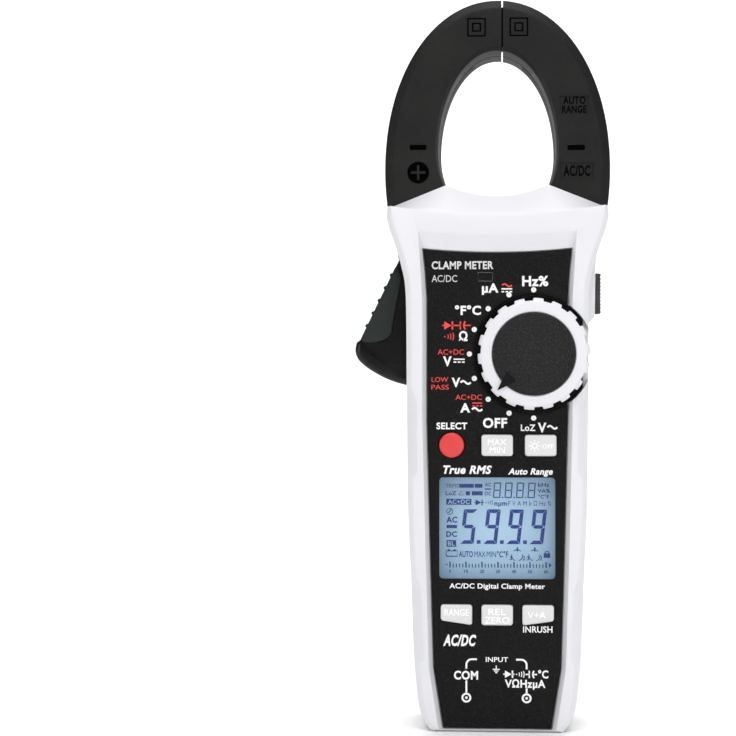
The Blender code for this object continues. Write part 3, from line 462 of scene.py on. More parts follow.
LOOKS = {
    "white_plastic": white_plastic(),
    "black_plastic": black_plastic(),
    "faceplate_black": faceplate_black(),
    "gloss_black": plain_grain("gloss_black", (0.003, 0.003, 0.003), 0.28, 700.0, 0.04, 0.3),
    "grip_rubber": rubber("grip_rubber", (0.016, 0.020, 0.019)),
    "seal_rubber": rubber("seal_rubber", (0.045, 0.045, 0.045)),
    "red_key": plain_grain("red_key", (0.66, 0.045, 0.045), 0.38),
    "key_grey": plain_grain("key_grey", (0.66, 0.66, 0.66), 0.45),
    "clear_window": window_film(),
    "display_glass": lcd_painted_glow(),
    "board_green": plain_grain("board_green", (0.02, 0.16, 0.07), 0.4, 1200.0, 0.1),
    "steel": metal("steel", (0.56, 0.56, 0.57), 0.3),
    "brass": metal("brass", (0.80, 0.58, 0.26), 0.28),
    "battery_case": plain_grain("battery_case", (0.10, 0.12, 0.16), 0.4),
}
CAP_LEATHER = cap_leather()
POINTER_BLACK = plain_grain("pointer_black", (0.003, 0.003, 0.003), 0.6, 1400.0, 0.2, 0.15)
# near-black used as painted shade on the jaw mark floors and as print for the words in the plates
MARK_SHADE_AND_PRINT_BLACK = plain_grain("mark_shade_and_print_black", (0.001, 0.001, 0.001), 0.9, 1400.0, 0.1, 0.03)
PRINT_WHITE = plain_grain("print_white", (0.85, 0.85, 0.85), 0.5, 3000.0, 0.05)
PRINT_RED = plain_grain("print_red", (0.75, 0.06, 0.05), 0.5, 3000.0, 0.05)
PRINT_KEY = plain_grain("print_key", (0.93, 0.93, 0.93), 0.5, 3000.0, 0.05)
PRINT_GREY = plain_grain("print_grey", (0.62, 0.62, 0.63), 0.45, 3000.0, 0.05)
SEGMENT = plain_grain("lcd_segment", (0.006, 0.022, 0.20), 0.6, 3000.0, 0.02, 0.05)

SLOTS = {part["node"]: part["material_slot"] for part in frame["record"]["subparts"]}


def body_of(node):
    return next(body for body, nodes in frame["record"]["behaviour"]["bodies"].items() if node in nodes)


def dress_cad_nodes():
    """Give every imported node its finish; the ones that are replaced keep it, hidden."""
    for name, node in frame["nodes"].items():
        node.data.materials.clear()
        node.data.materials.append(LOOKS[SLOTS[name]])


def stand_for(piece, node):
    """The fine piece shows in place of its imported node, and moves with that node's body."""
    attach(piece, body_of(node))
    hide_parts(node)


dress_cad_nodes()


# ---------------------------------------------------------------- outlines of the body

SIDE_CURVE = curve_through(BODY_SIDE[:4], 4)[:-1] + curve_through(BODY_SIDE[3:8], 8)[:-1]
SIDE_CURVE += curve_through(BODY_SIDE[7:], 6)


def facet_width(z):
    """Width of the front side facet at height z: wide in the hollows, with slanted ends."""
    for z0, z1 in HOLLOWS:
        if z0 < z < z1:
            rise = min((z - z0) / HOLLOW_LOW_RAMP, (z1 - z) / HOLLOW_HIGH_RAMP, 1.0)
            return FACET_NARROW + (FACET_WIDE - FACET_NARROW) * rise
    return FACET_NARROW


def with_hollow_ends(side):
    """Add points to a side curve where the facet changes width."""
    marks = []
    for z0, z1 in HOLLOWS:
        marks += [z0, z0 + HOLLOW_LOW_RAMP, z1 - HOLLOW_HIGH_RAMP, z1]
    points = sorted(set(side + [(z, width_at(side, z)) for z in marks]))
    kept = [points[0]]
    for point in points[1:]:
        if point[0] - kept[-1][0] > 0.25 or point[0] in marks:
            kept.append(point)
    return kept


def width_at(side, z):
    for (z0, x0), (z1, x1) in zip(side, side[1:]):
        if z0 <= z <= z1:
            return x0 + (x1 - x0) * (z - z0) / max(z1 - z0, 1e-6)
    return side[-1][1]


def collar_height(x, slope):
    """Top of the collar at x: slope 0 is its low outer edge and 1 its high edge at the jaws."""
    x = abs(x)
    front = 162.2 + 2.8 * (x / 33.0) ** 2
    if x > COLLAR_INNER_X:
        fall = COLLAR_PEAK_Z - COLLAR_END_Z
        rear = COLLAR_PEAK_Z - fall * (x - COLLAR_INNER_X) / (SHOULDER_X - COLLAR_INNER_X)
    else:
        dip = COLLAR_PEAK_Z - COLLAR_MIDDLE_Z
        rear = COLLAR_MIDDLE_Z + dip * (x / COLLAR_INNER_X) ** 2
    return front + (rear - front) * slope


SIDE = with_hollow_ends(SIDE_CURVE)
TOP_X = [SHOULDER_X - 0.25, 33.5, 31.0, 28.0, 25.0, 22.0, 19.0, 17.2, COLLAR_INNER_X]
TOP_X += [COLLAR_INNER_X * (1 - (i + 1) / 12) for i in range(12)]


def body_ring(face_y, inward, share=0.0, inset=0.0, depth=None, hollows=True):
    """One ring of a housing half, from the bottom right round to the bottom left.

    share 1 is the inner edge of the side facet and 0 its outer edge; a depth from the face takes over
    on the plain sides below the facet. inset pulls the whole ring in.
    """
    right = []
    for z, x in SIDE:
        width = facet_width(z) if hollows else REAR_FACET
        below = width * (1 - share) if depth is None else depth
        lift = (0.9 * share + inset) * max(0.0, 1 - z / 4) ** 2
        right.append((x - width * share - inset, face_y + inward * below, z + lift))
    top_depth = FACET_NARROW * (1 - share) if depth is None else depth
    slope = min(1.0, top_depth / (abs(face_y) - JAW_Y - JAW_PLAY))
    squeeze = 1 - (FACET_NARROW * share * 0.6 + inset) / SHOULDER_X
    y = face_y + inward * top_depth
    top = [(x * squeeze, y, collar_height(x, slope) - inset) for x in TOP_X]
    half = right + top
    return half + [(-x, yy, z) for x, yy, z in reversed(half[:-1])]


def cavity_outline(drop=2.6):
    side = [(max(z, WALL), x - WALL) for z, x in BODY_SIDE]
    right = [(x, z) for z, x in side]
    top = [(x, collar_height(x, 1.0) - drop) for x in (32.6, 29.0, 22.5, COLLAR_INNER_X, 12.0, 8.0, 4.0, 0.0)]
    half = right + top
    return half + [(-x, z) for x, z in reversed(half[:-1])]


def plate_outline(grow=0.0, top=0.0):
    """Faceplate outline: top edge dips in the middle, sides taper to the bottom end."""
    sides = [(1.05, 16.9), (20.0, 19.9), (54.0, 20.9), (98.0, 22.0), (136.0, 22.0), (144.0, 22.5),
             (151.8, 23.3)]
    right = [(x + grow, z - (min(grow, GAP) if z < 2 else -grow if z > 150 else 0)) for z, x in sides]
    corner_x, corner_z = right[-1]
    right[-1] = (corner_x, corner_z + top)
    dip = [(corner_x * k, corner_z + top - 1.2 * (1 - k * k)) for k in (0.85, 0.7, 0.55, 0.4, 0.25, 0.1)]
    half = right + dip
    return half + [(-x, z) for x, z in reversed(half)]


def side_boss_outline():
    outer = [(27.2, 128.2), (29.0, 128.8), (30.8, 130.3), (31.0, 146.0), (31.4, 150.6)]
    return outer + [(30.2, 151.0), (29.0, 147.0), (27.2, 140.0)]


def jaw_edge(a, b, z_mid, start, end, steps=JAW_STEPS, power=1.0):
    """Points along a squared ellipse, on the right."""
    points = []
    for i in range(steps + 1):
        turn = math.radians(start + (end - start) * i / steps)
        across = math.copysign(abs(math.cos(turn)) ** power, math.cos(turn))
        up = math.copysign(abs(math.sin(turn)) ** power, math.sin(turn))
        points.append((a * across, z_mid + b * up))
    return points


def tip_angle(side, a, power=1.0):
    tip = JAW_SPLIT_X + side * JAW_TIP_GAP / 2
    angle = math.degrees(math.acos((abs(tip) / a) ** (1 / power)))
    return 180 - angle if side * tip < 0 else angle


def jaw_outline(side, outer_inset=0.0, inner_grow=(0.0, 0.0)):
    """One jaw with its hidden base: down the outside, round the base and back up the opening."""
    a, b, mid = JAW_OUTER["a"] - outer_inset, JAW_OUTER["b"] - outer_inset, JAW_OUTER["z"]
    ia, ib = JAW_INNER["a"] + inner_grow[0], JAW_INNER["b"] + inner_grow[1]
    outer = jaw_edge(a, b, mid, tip_angle(side, a, JAW_POWER), JAW_FOOT_ANGLE, power=JAW_POWER)
    inner = jaw_edge(ia, ib, JAW_INNER["z"], 0, tip_angle(side, ia))
    low_edge = jaw_edge(ia, JAW_INNER["b_low"], JAW_INNER["z"], -40.9, -4, 10)
    if side > 0:
        base = [(34.4 - outer_inset, 165.2), (32.3, 163.4), (31.0, 158.5), (29.6, 154.2), (28.4, 149.0)]
        base += [(-14.8, 149.0)] + arc(PIVOT, HUB_R + 0.9, -30, 30, 8) + [(-13.4, 165.0), (13.4, 165.0)]
        return outer + base + low_edge + inner
    mirror = [[(-x, z) for x, z in run] for run in (outer, low_edge, inner)]
    base = [(-35.0 + outer_inset, 163.0), (-33.9, 158.0), (-32.6, 154.4), (-31.6, 150.6)]
    base += [(-31.3, 148.9), (-26.6, 147.6)] + arc(PIVOT, HUB_R, 270, 410, 16) + [(-15.6, 164.5)]
    return mirror[0] + base + mirror[1] + mirror[2]


# ---------------------------------------------------------------- housings

SCREW_NAMES = [f"housing_screw_{i}" for i in (1, 2, 3, 4)]
SCREW_BOSS_R, SCREW_WELL_R, SCREW_HOLE_R = 4.0, 2.9, 1.6
SHAFT_HOLE_R = 5.2
DISPLAY_HOLE = (20.0, 17.8)
SOCKET_SLOT_X, SOCKET_SLOT_Y, SOCKET_SLOT_Z = 17.3, 7.2, 4
BATTERY_HOLE_X, BATTERY_HOLE_Z = 14.8, (26.3, 84.2)


def jaw_openings():
    low_edge = jaw_edge(JAW_INNER["a"], JAW_INNER["b_low"], JAW_INNER["z"], -52, -18, 8)
    low_edge = [(x - 0.4, z) for x, z in low_edge]
    right = low_edge + [(16.4, 180.0), (34.75, 180.0), (34.75, 163.9), (32.7, 162.4)]
    left = [(-x, z) for x, z in low_edge] + [(-16.4, 180.0), (-42.0, 180.0), (-42.0, 145.2), (-24.0, 145.2)]
    return [
        prism(right, -JAW_Y - JAW_PLAY, JAW_Y + JAW_PLAY),
        prism(left, -JAW_Y - JAW_PLAY, JAW_Y + JAW_PLAY),
        box_solid((-46, -LEVER_Y - 0.9, 107.8), (-24, LEVER_Y + 0.9, 150)),
        box_solid((25.5, -8.0, 131.1), (36, 2.0, 144.9)),
    ]


def housing_rings(face_y, inward, hollows):
    """Rings from the outer face to the parting line, with the facet edges broken by small flats."""
    rings = [body_ring(face_y, inward, 1.0, EDGE, hollows=hollows)]
    rings += [body_ring(face_y, inward, share, hollows=hollows) for share in (0.94, 0.06)]
    for depth in (4.3, 5.6, abs(face_y) - JAW_Y - JAW_PLAY, abs(face_y) - PARTING - 0.25):
        rings.append(body_ring(face_y, inward, depth=depth, hollows=hollows))
    return rings + [body_ring(face_y, inward, inset=0.15, depth=abs(face_y) - PARTING, hollows=hollows)]


def make_front_housing():
    body = rings_solid("housing_front", housing_rings(BEZEL_Y, 1, True), LOOKS["white_plastic"])
    recess = loft("tool", [
        (BEZEL_Y - 0.3, plate_outline(grow=1.75, top=4.4)),
        (BEZEL_Y + 0.1, plate_outline(grow=1.5, top=3.9)),
        (PLATE_Y + 0.3, plate_outline(grow=GAP)),
        (DECK_Y, plate_outline(grow=GAP)),
    ])
    head = [(-30, 154.2), (30, 154.2), (31.5, 161.0), (-31.5, 161.0)]
    deck_back = DECK_Y + 1.7
    pieces = cuts(prism(cavity_outline(), deck_back, 2.0),
                  prism(head, -16.2, deck_back + 1), recess)
    pieces += joins(soft_prism("join", side_boss_outline(), -11.0, -PARTING, 0.4))
    pieces += cuts(rod(DISH_R, (KNOB[0], -30, KNOB[1]), 15.4, "Y", 96), *jaw_openings())
    pieces += cuts(rod(SHAFT_HOLE_R, (KNOB[0], -16, KNOB[1]), 4, "Y", 32))
    across, up = DISPLAY_HOLE
    pieces += cuts(box_solid((-across, -16, LCD_Z - up), (across, -12, LCD_Z + up)))
    pieces += cuts(box_solid((-SOCKET_SLOT_X, -SOCKET_SLOT_Y, -1), (SOCKET_SLOT_X, 1, SOCKET_SLOT_Z)))
    for outline in key_outlines().values():
        pieces += cuts(prism(grown(outline, 0.6), -16.5, -12.0))
    stand_for(apply_booleans(body, pieces), "front_housing")


def make_rear_housing():
    body = rings_solid("housing_rear", housing_rings(REAR_Y, -1, False), LOOKS["white_plastic"])
    bay_low, bay_high = low("battery_cover"), high("battery_cover")
    recess = rounded_rect(0, centre_of("battery_cover", "z"), bay_high.x * 2 + 0.6,
                          bay_high.z - bay_low.z + 0.6, 2.0)
    pieces = cuts(prism(cavity_outline(), -2.0, REAR_Y - 2.4))
    pieces += joins(prism(grown(recess, 1.8), 11.6, REAR_Y - 0.4))
    pieces += joins(prism(side_boss_outline(), PARTING, 5.0))
    pieces += cuts(prism(recess, 15.2, REAR_Y + 2), *jaw_openings())
    pieces += cuts(box_solid((-BATTERY_HOLE_X, 8.0, BATTERY_HOLE_Z[0]),
                             (BATTERY_HOLE_X, 16.0, BATTERY_HOLE_Z[1])))
    pieces += cuts(box_solid((-SOCKET_SLOT_X, -1, -1), (SOCKET_SLOT_X, SOCKET_SLOT_Y, SOCKET_SLOT_Z)))
    for name in SCREW_NAMES:
        centre = (low(name) + high(name)) / 2
        pieces += joins(rod(SCREW_BOSS_R, (centre.x, PARTING, centre.z), REAR_Y - 1.0, "Y", 32))
        pieces += cuts(rod(SCREW_WELL_R, (centre.x, 14.2, centre.z), 6.0, "Y", 32))
        pieces += cuts(rod(SCREW_HOLE_R, (centre.x, -1.0, centre.z), 16.0, "Y", 24))
    stand_for(apply_booleans(body, pieces), "rear_housing")


def make_faceplate():
    plate = soft_prism("faceplate_film", plate_outline(), PLATE_Y, PLATE_BACK_Y, 0.3, 0.0,
                       LOOKS["faceplate_black"], 3)
    inner, outer = DISH_R + 0.1, DISH_R + 4.2
    profile = [(inner, 0.6), (inner, -RIM_RISE + 0.15), (inner + 0.1, -RIM_RISE), (inner + 0.5, -RIM_RISE)]
    profile += [(inner + 1.3, -RIM_RISE + 0.15), (inner + 2.6, -0.28), (outer - 0.5, -0.05)]
    profile += [(outer, -0.02), (outer, 0.6)]
    rim = turned("rim", profile, (KNOB[0], PLATE_Y, KNOB[1]), "Y", 96, ring=True)
    apply_booleans(rim, [("INTERSECT", prism(plate_outline(grow=-0.4), PLATE_Y - 3, PLATE_Y + 3))])
    lcd = rounded_rect(0, LCD_Z, LCD_W, LCD_H, 1.2)
    pieces = cuts(prism(lcd, -18, -14), box_solid((-6.1, -18, 141.5), (-1.3, -14, 144.5)))
    for outline in key_outlines().values():
        pieces += cuts(prism(grown(outline, GAP), -18.0, -14.0))
    floor = [(15.0, DECK_Y), (15.0, PLATE_BACK_Y), (18.4, PLATE_BACK_Y), (18.4, PLATE_Y + 0.2)]
    floor += [(18.6, PLATE_Y), (18.6, DECK_Y)]
    cup = turned("cup", floor, KNOB_HUB, "Y", 96, ring=True)
    apply_booleans(cup, cuts(box_solid((26.8, -18, 90), (40, -12, 150))))
    pieces += cuts(rod(18.3, (KNOB[0], -30, KNOB[1]), 30, "Y", 96)) + joins(cup, rim)
    stand_for(apply_booleans(plate, pieces), "faceplate")


# ---------------------------------------------------------------- keys

KEY_W = 9.9
KEY_BACK_Y = -12.1
UPPER_KEY_H, LOWER_KEY_H = 6.7, 6.4
LOWER_KEY_Z = 36.7
SELECT_X, SELECT_R = -14.3, 3.95
KEY_ROUND, SELECT_ROUND = 0.55, 0.9


def key_outline(cx, cz, height, slant):
    """A rounded key; a slant of 1 or -1 lifts its lower edge towards the right or the left."""
    lift = []
    for x, z in rounded_rect(cx, cz, KEY_W, height, 0.9):
        share = (0.5 + slant * (x - cx) / KEY_W) if z < cz and slant else 0.0
        lift.append((x, z + 1.4 * share))
    return lift


def key_outlines():
    """The outline of every front key, by node."""
    upper, lower = centre_of("max_min_key", "z"), LOWER_KEY_Z
    return {
        "max_min_key": key_outline(0.0, upper, UPPER_KEY_H, 0),
        "light_key": key_outline(13.6, upper, UPPER_KEY_H, 0),
        "range_key": key_outline(-12.8, lower, LOWER_KEY_H, -1),
        "zero_key": key_outline(0.0, lower, LOWER_KEY_H, 0),
        "inrush_key": key_outline(12.8, lower, LOWER_KEY_H, 1),
        "select_key": arc((SELECT_X, upper), SELECT_R, 0, 352.5, 47),
    }


def make_keys():
    for node, outline in key_outlines().items():
        edge = SELECT_ROUND if node == "select_key" else KEY_ROUND
        look = LOOKS[SLOTS[node]]
        stand_for(soft_prism(f"{node}_cap", outline, KEY_FRONT_Y, KEY_BACK_Y, edge, 0.0, look, 6, 50), node)


# ---------------------------------------------------------------- knob

KNOB_TEETH = 18
TOOTH_PITCH = 360 / KNOB_TEETH
TOOTH_STEPS = 36
TOOTH_DEPTH = 0.9
TOOTH_TURN, TOOTH_HALF_ANGLE, TOOTH_FLANK = 5.2, 5.85, 0.7
KNOB_BACK_Y, CAP_SEAT_Y, CAP_BACK_Y = -15.5, -19.7, -19.9
POINTER_ANGLE = 225.0


def toothed(radius, depth):
    """Toothed ring outline: flat-topped teeth with slightly raked flanks."""
    points = []
    for i in range(KNOB_TEETH):
        for k in range(TOOTH_STEPS):
            turn = TOOTH_PITCH * k / TOOTH_STEPS
            from_middle = abs((turn - TOOTH_TURN + TOOTH_PITCH / 2) % TOOTH_PITCH - TOOTH_PITCH / 2)
            rise = min(1.0, max(0.0, (TOOTH_HALF_ANGLE - from_middle) / TOOTH_FLANK))
            angle = math.radians(TOOTH_PITCH * i + turn)
            r = radius - depth * (1 - rise)
            points.append((KNOB[0] + r * math.cos(angle), KNOB[1] + r * math.sin(angle)))
    return points


def smooth_ring(radius):
    """A circle with as many points as the toothed outline."""
    count = KNOB_TEETH * TOOTH_STEPS
    return arc(KNOB, radius, 0, 360 - 360 / count, count - 1)


def make_pointer(top):
    """A low dark arrow on the cap, reaching over the ring."""
    turn = math.radians(POINTER_ANGLE)
    along = Vector((math.cos(turn), 0, math.sin(turn)))
    across = Vector((-math.sin(turn), 0, math.cos(turn)))
    hub = Vector(KNOB_HUB)
    foot = KNOB_FRONT_Y - 0.3
    mesh_data = bmesh.new()
    tip, tip_top, left, right, left_top, right_top, peak = [
        mesh_data.verts.new((hub + along * r + across * side + Vector((0, y, 0))) * MM) for r, side, y in (
            (16.1, 0, foot), (16.1, 0, foot - 0.25), (9.6, 2.4, foot + 1.2), (9.6, -2.4, foot + 1.2),
            (9.9, 2.1, top - 0.1), (9.9, -2.1, top - 0.1), (10.4, 0, POINTER_Y + 0.05))]
    for face in (
        (tip, left, right), (tip, tip_top, left_top, left), (tip, right, right_top, tip_top),
        (left, left_top, peak, right_top, right), (tip_top, peak, left_top), (tip_top, right_top, peak),
    ):
        mesh_data.faces.new(face)
    pointer = link("pointer", mesh_data, POINTER_BLACK, 5)
    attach(pointer, "range_knob")


def make_knob():
    front = KNOB_FRONT_Y
    cap_r = CAP_R - 0.55
    root = KNOB_R - TOOTH_DEPTH
    ring = loft("range_ring", [
        (front, smooth_ring(root - 0.75)),
        (front + 0.1, smooth_ring(root - 0.45)),
        (front + 0.35, toothed(root + 0.05, 0.15)),
        (front + 0.75, toothed(KNOB_R - 0.35, TOOTH_DEPTH - 0.35)),
        (front + 1.1, toothed(KNOB_R - 0.1, TOOTH_DEPTH - 0.1)),
        (front + 1.5, toothed(KNOB_R, TOOTH_DEPTH)),
        (KNOB_BACK_Y, toothed(KNOB_R, TOOTH_DEPTH)),
    ], LOOKS["white_plastic"])
    seat = turned("tool", [(cap_r + 0.5, -26), (cap_r + 0.5, front), (cap_r + 0.2, front + 0.25),
                           (cap_r + 0.15, CAP_SEAT_Y), (0, CAP_SEAT_Y)], KNOB_HUB, "Y", 96)
    bore = rod(3.3, (KNOB[0], -25, KNOB[1]), 14, "Y", 32)
    stand_for(apply_booleans(ring, cuts(seat, bore)), "knob_ring")
    top = low("knob_cap").y + 0.9
    profile = [(0, top - 0.05), (cap_r * 0.6, top), (cap_r - 0.7, top + 0.12), (cap_r - 0.25, top + 0.3),
               (cap_r, top + 0.65), (cap_r, CAP_BACK_Y), (0, CAP_BACK_Y)]
    cap = turned("range_cap", profile, KNOB_HUB, "Y", 96, CAP_LEATHER)
    make_pointer(top)
    stand_for(cap, "knob_cap")


# ---------------------------------------------------------------- jaws

SHALLOW, DEEP, PLATE_DEPTH = 0.5, 0.9, 0.4
SQUARE_X, SQUARE_Z = {-1: -6.55, 1: 6.85}, 222.5
STUB = {-1: (-25.15, 184.5, 5.4), 1: (24.95, 184.1, 5.6)}
STUB_H, STUB_CORNER = 1.75, 0.5
PLUS, PLUS_R = (-25.1, 176.5), 3.5
WORD_PLATES = ((24.35, 197.6, 9.2, 5.95), (25.15, 176.7, 10.6, 5.4))
MARK_SHADE_PLAY = 0.1


def sunk(outline, facing, depth=SHALLOW, core=()):
    """A cutter that sinks an outline into a jaw's face, leaving the core outlines standing."""
    y0, y1 = facing * (JAW_Y + 1), facing * (JAW_Y - depth)
    return apply_booleans(prism(outline, y0, y1), cuts(*[
        prism(stand, y0 + facing, y1 - facing) for stand in core]))


def square(side, size, corner):
    return rounded_rect(SQUARE_X[side], SQUARE_Z, size, size, corner, 2)


def stub(side, shrink=0.0):
    x, z, width = STUB[side]
    return rounded_rect(x, z, width - shrink, STUB_H - shrink, STUB_CORNER)


def jaw_marks(side, facing):
    """Cutters for the marks in a jaw's face: a double square, a stub, and a plus or two word plates."""
    marks = [sunk(square(side, 6.0, 0.3), facing, core=[square(side, 5.0, 0.2)]),
             sunk(square(side, 2.9, 0.1), facing, core=[square(side, 1.9, 0.1)]),
             sunk(stub(side), facing, DEEP)]
    if side < 0:
        plus = [rounded_rect(*PLUS, w, h, 0.15, 2) for w, h in ((4.7, 0.7), (0.7, 4.7))]
        return marks + [sunk(arc(PLUS, PLUS_R, 0, 354, 59), facing, DEEP, core=plus)]
    return marks + [sunk(rounded_rect(*plate, 0.2, 2), facing, PLATE_DEPTH) for plate in WORD_PLATES]


def shade_and_print_jaw_marks():
    """Lines the floors of the sunk marks with painted shade in near-black, and puts generic words in the two
    plates.
    """
    # painted shade: near-black layers on the floors of the sunk marks stand in for the shade inside them
    shallow, deep, plate = (MARK_FLOOR - JAW_Y + depth for depth in (SHALLOW, DEEP, PLATE_DEPTH))
    ring = arc(PLUS, PLUS_R - MARK_SHADE_PLAY / 2, 0, 354, 59)
    words = [("AUTO", 20.8, 27.9, 198.0, 2.15, BOLD), ("RANGE", 20.5, 28.2, 195.15, 2.15, BOLD),
             ("AC/DC", 20.9, 29.4, 175.2, 3.1, BOLD)]
    for name, body, y, shapes, printed in (
        ("moving_jaw_square", "moving_jaw", shallow, [square(-1, 6.0 - MARK_SHADE_PLAY, 0.3)], ()),
        ("moving_jaw_marks", "moving_jaw", deep, [ring, stub(-1, MARK_SHADE_PLAY)], ()),
        ("fixed_jaw_square", "meter_body", shallow, [square(1, 6.0 - MARK_SHADE_PLAY, 0.3)], ()),
        ("fixed_jaw_marks", "meter_body", deep, [stub(1, MARK_SHADE_PLAY)], ()),
        ("fixed_jaw_words", "meter_body", plate, (), words),
    ):
        print_and_shade_layer(name, MARK_SHADE_AND_PRINT_BLACK, body, y, shapes, printed)


def inner_grow(draft, bevel):
    """How far the opening widens along x and z for shares of the draft and of the inner bevel."""
    return tuple(draft * slope + bevel * cut for slope, cut in zip(JAW_DRAFT, JAW_INNER_BEVEL))


def jaw_shell(name, side, facing):
    edge = 1.0 if facing < 0 else 0.0
    sections = []
    for share, depth in JAW_CHAMFER:
        outline = jaw_outline(side, JAW_BEVEL * (1 - share), inner_grow(edge, 1 - max(share, 0.0)))
        sections.append((facing * (JAW_Y - JAW_BEVEL_DEPTH * depth), outline))
    sections.append((facing * (PARTING + 0.25), jaw_outline(side, 0.0, inner_grow(0.5, 0.0))))
    sections.append((facing * PARTING, jaw_outline(side, 0.22, inner_grow(0.5, 0.12))))
    return loft(name, sections, LOOKS["black_plastic"])


def make_jaws():
    for prefix, side in (("moving_jaw", -1), ("fixed_jaw", 1)):
        tip = JAW_SPLIT_X + side * JAW_TIP_GAP / 2
        for half, facing in (("front_shell", -1), ("rear_shell", 1)):
            shell = jaw_shell(f"{prefix}_{half}_fine", side, facing)
            pieces = cuts(*jaw_marks(side, facing))
            if side < 0:
                pieces += cuts(rod(2.3, (PIVOT[0], -13, PIVOT[1]), 26, "Y", 32))
                slot = [(-34.0, 146.0), (-26.3, 146.0), (-26.3, 151.9), (-34.0, 151.9)]
                pieces += cuts(prism(slot, -facing, facing * (LEVER_Y + GAP)))
                reach = tip + JAW_TIP_GAP + TONGUE_REACH
                pieces += joins(box_solid((tip - 0.5, facing * PARTING, TONGUE_Z[0]),
                                          (reach, facing * TONGUE_Y, TONGUE_Z[1])))
            else:
                reach = tip + TONGUE_REACH + GAP
                pieces += cuts(box_solid((tip - 1, -facing, GROOVE_Z[0]),
                                         (reach, facing * (TONGUE_Y + GAP), GROOVE_Z[1])))
            stand_for(apply_booleans(shell, pieces), f"{prefix}_{half}")
    shade_and_print_jaw_marks()


# ---------------------------------------------------------------- trigger

GRIP_TOP, GRIP_BOTTOM = (-32.6, 146.7), (-43.6, 123.9)
GRIP_SKIN = 1.5
GRIP_Y = LEVER_Y + 0.3
GRIP_RIBS, RIB_PITCH, RIB_HALF, RIB_H = 5, 0.178, 0.026, 0.55


def beside_grip(share, out=0.0):
    """A point at a share of the grip's outer edge from its top, and out from it."""
    top, bottom = Vector(GRIP_TOP), Vector(GRIP_BOTTOM)
    run = bottom - top
    spot = top + run * share + Vector((run.y, -run.x)).normalized() * out
    return (spot.x, spot.y)


def grip_outline(grow=0.0, ribs=True):
    points = [beside_grip(0, grow)]
    for i in range(GRIP_RIBS if ribs else 0):
        rib = 0.114 + RIB_PITCH * i
        for k in range(9):
            turn = math.pi * k / 8
            points.append(beside_grip(rib - RIB_HALF * math.cos(turn), RIB_H * math.sin(turn) + grow))
    points.append(beside_grip(1, grow))
    inner = [(-43.2, 122.9), (-41.9, 122.4), (-38.8, 122.5), (-35.3, 123.7), (-33.7, 125.5), (-33.5, 127.5)]
    inner += [(-31.7, 137.2), (-30.7, 142.8), (-31.3, 145.6)]
    shift = [(-0.3, -1), (0, -1), (0, -1), (0.5, -0.85), (1, -0.3), (1, 0), (1, 0), (1, 0.2), (0.8, 0.6)]
    moved = [(x + dx * grow, z + dz * grow) for (x, z), (dx, dz) in zip(inner, shift)]
    return points + curve_through(moved, 4)


def lever_outline():
    nose = curve_through([
        (-44.0, 123.3), (-45.0, 122.6), (-45.4, 121.4), (-45.55, 119.9), (-45.2, 118.2), (-44.0, 116.3),
        (-40.9, 113.8), (-36.3, 111.2), (-32.2, 109.6), (-28.7, 108.7), (-26.2, 108.4)], 4)
    return [(-30.9, 150.2)] + nose + [(-25.2, 125.0), (-25.4, 150.2)]


def make_trigger():
    lever = soft_prism("trigger_lever_fine", lever_outline(), -LEVER_Y, LEVER_Y, 1.9, 1.9,
                       LOOKS["gloss_black"], 8, 40)
    inside = GRIP_SKIN + GAP
    depth = LEVER_Y + GAP - inside
    seat = grip_outline(0.15, ribs=False)
    strip = [beside_grip(share, out) for share, out in (
        (0.012, 4), (0.012, -0.1), (0.026, -inside), (1.036, -inside), (1.036, -0.8), (1.008, 0.1),
        (1.008, 4))]
    tongue = [(-30.4, 147.0), (-26.6, 147.0), (-26.6, 151.5), (-30.4, 151.5)]
    pieces = cuts(box_solid((-26.55, -9, 147.2), (-20, 9, 152)))
    pieces += joins(prism(tongue, -6.9, 6.9))
    pieces += cuts(prism(seat, -9, -depth), prism(seat, depth, 9), prism(strip, -9, 9))
    stand_for(apply_booleans(lever, pieces, 40), "trigger_lever")
    grip = soft_prism("trigger_grip_fine", grip_outline(), -GRIP_Y, GRIP_Y, 0.5, 0.5,
                      LOOKS["grip_rubber"], 4, 40)
    void = [beside_grip(-0.2, -GRIP_SKIN), beside_grip(1.2, -GRIP_SKIN), (-20.0, 118.0), (-20.0, 150.0)]
    cheek = GRIP_Y - GRIP_SKIN
    stand_for(apply_booleans(grip, cuts(prism(void, -cheek, cheek)), 40), "trigger_grip")


# ---------------------------------------------------------------- printing

PRINT_RISE = 0.03
DOT_RING_R, DOT_R = 20.1, 0.82
LEAD_BEND, LEAD_W = 1.7, 0.58


def bar(x0, z0, x1, z1):
    return [(x0, z0), (x1, z0), (x1, z1), (x0, z1)]


def disc(cx, cz, radius, steps=28):
    return arc((cx, cz), radius, 0, 360 - 360 / steps, steps - 1)


def stroke(points, width):
    """A line of the given width through points, as one outline."""
    near, far = [], []
    for i, point in enumerate(points):
        here = Vector(point)
        before = Vector(points[max(i - 1, 0)])
        after = Vector(points[min(i + 1, len(points) - 1)])
        along = (after - before).normalized()
        side = Vector((-along.y, along.x)) * width / 2
        near.append(tuple(here + side))
        far.append(tuple(here - side))
    return near + far[::-1]


def ring_shape(cx, cz, radius, width):
    return stroke(arc((cx, cz), radius, 0, 359.6, 36), width)


def wave(x0, x1, z, swing, width):
    steps = 16
    return stroke([(x0 + (x1 - x0) * i / steps, z + swing * math.sin(2 * math.pi * i / steps))
                   for i in range(steps + 1)], width)


def dc_mark(x0, x1, z, thick):
    """A bar over three dashes."""
    dash = (x1 - x0) / 4
    shapes = [bar(x0, z, x1, z + thick)]
    for i in range(3):
        left = x0 + i * (x1 - x0 - dash) / 2
        shapes.append(bar(left, z - 0.9, left + dash, z - 0.9 + thick))
    return shapes


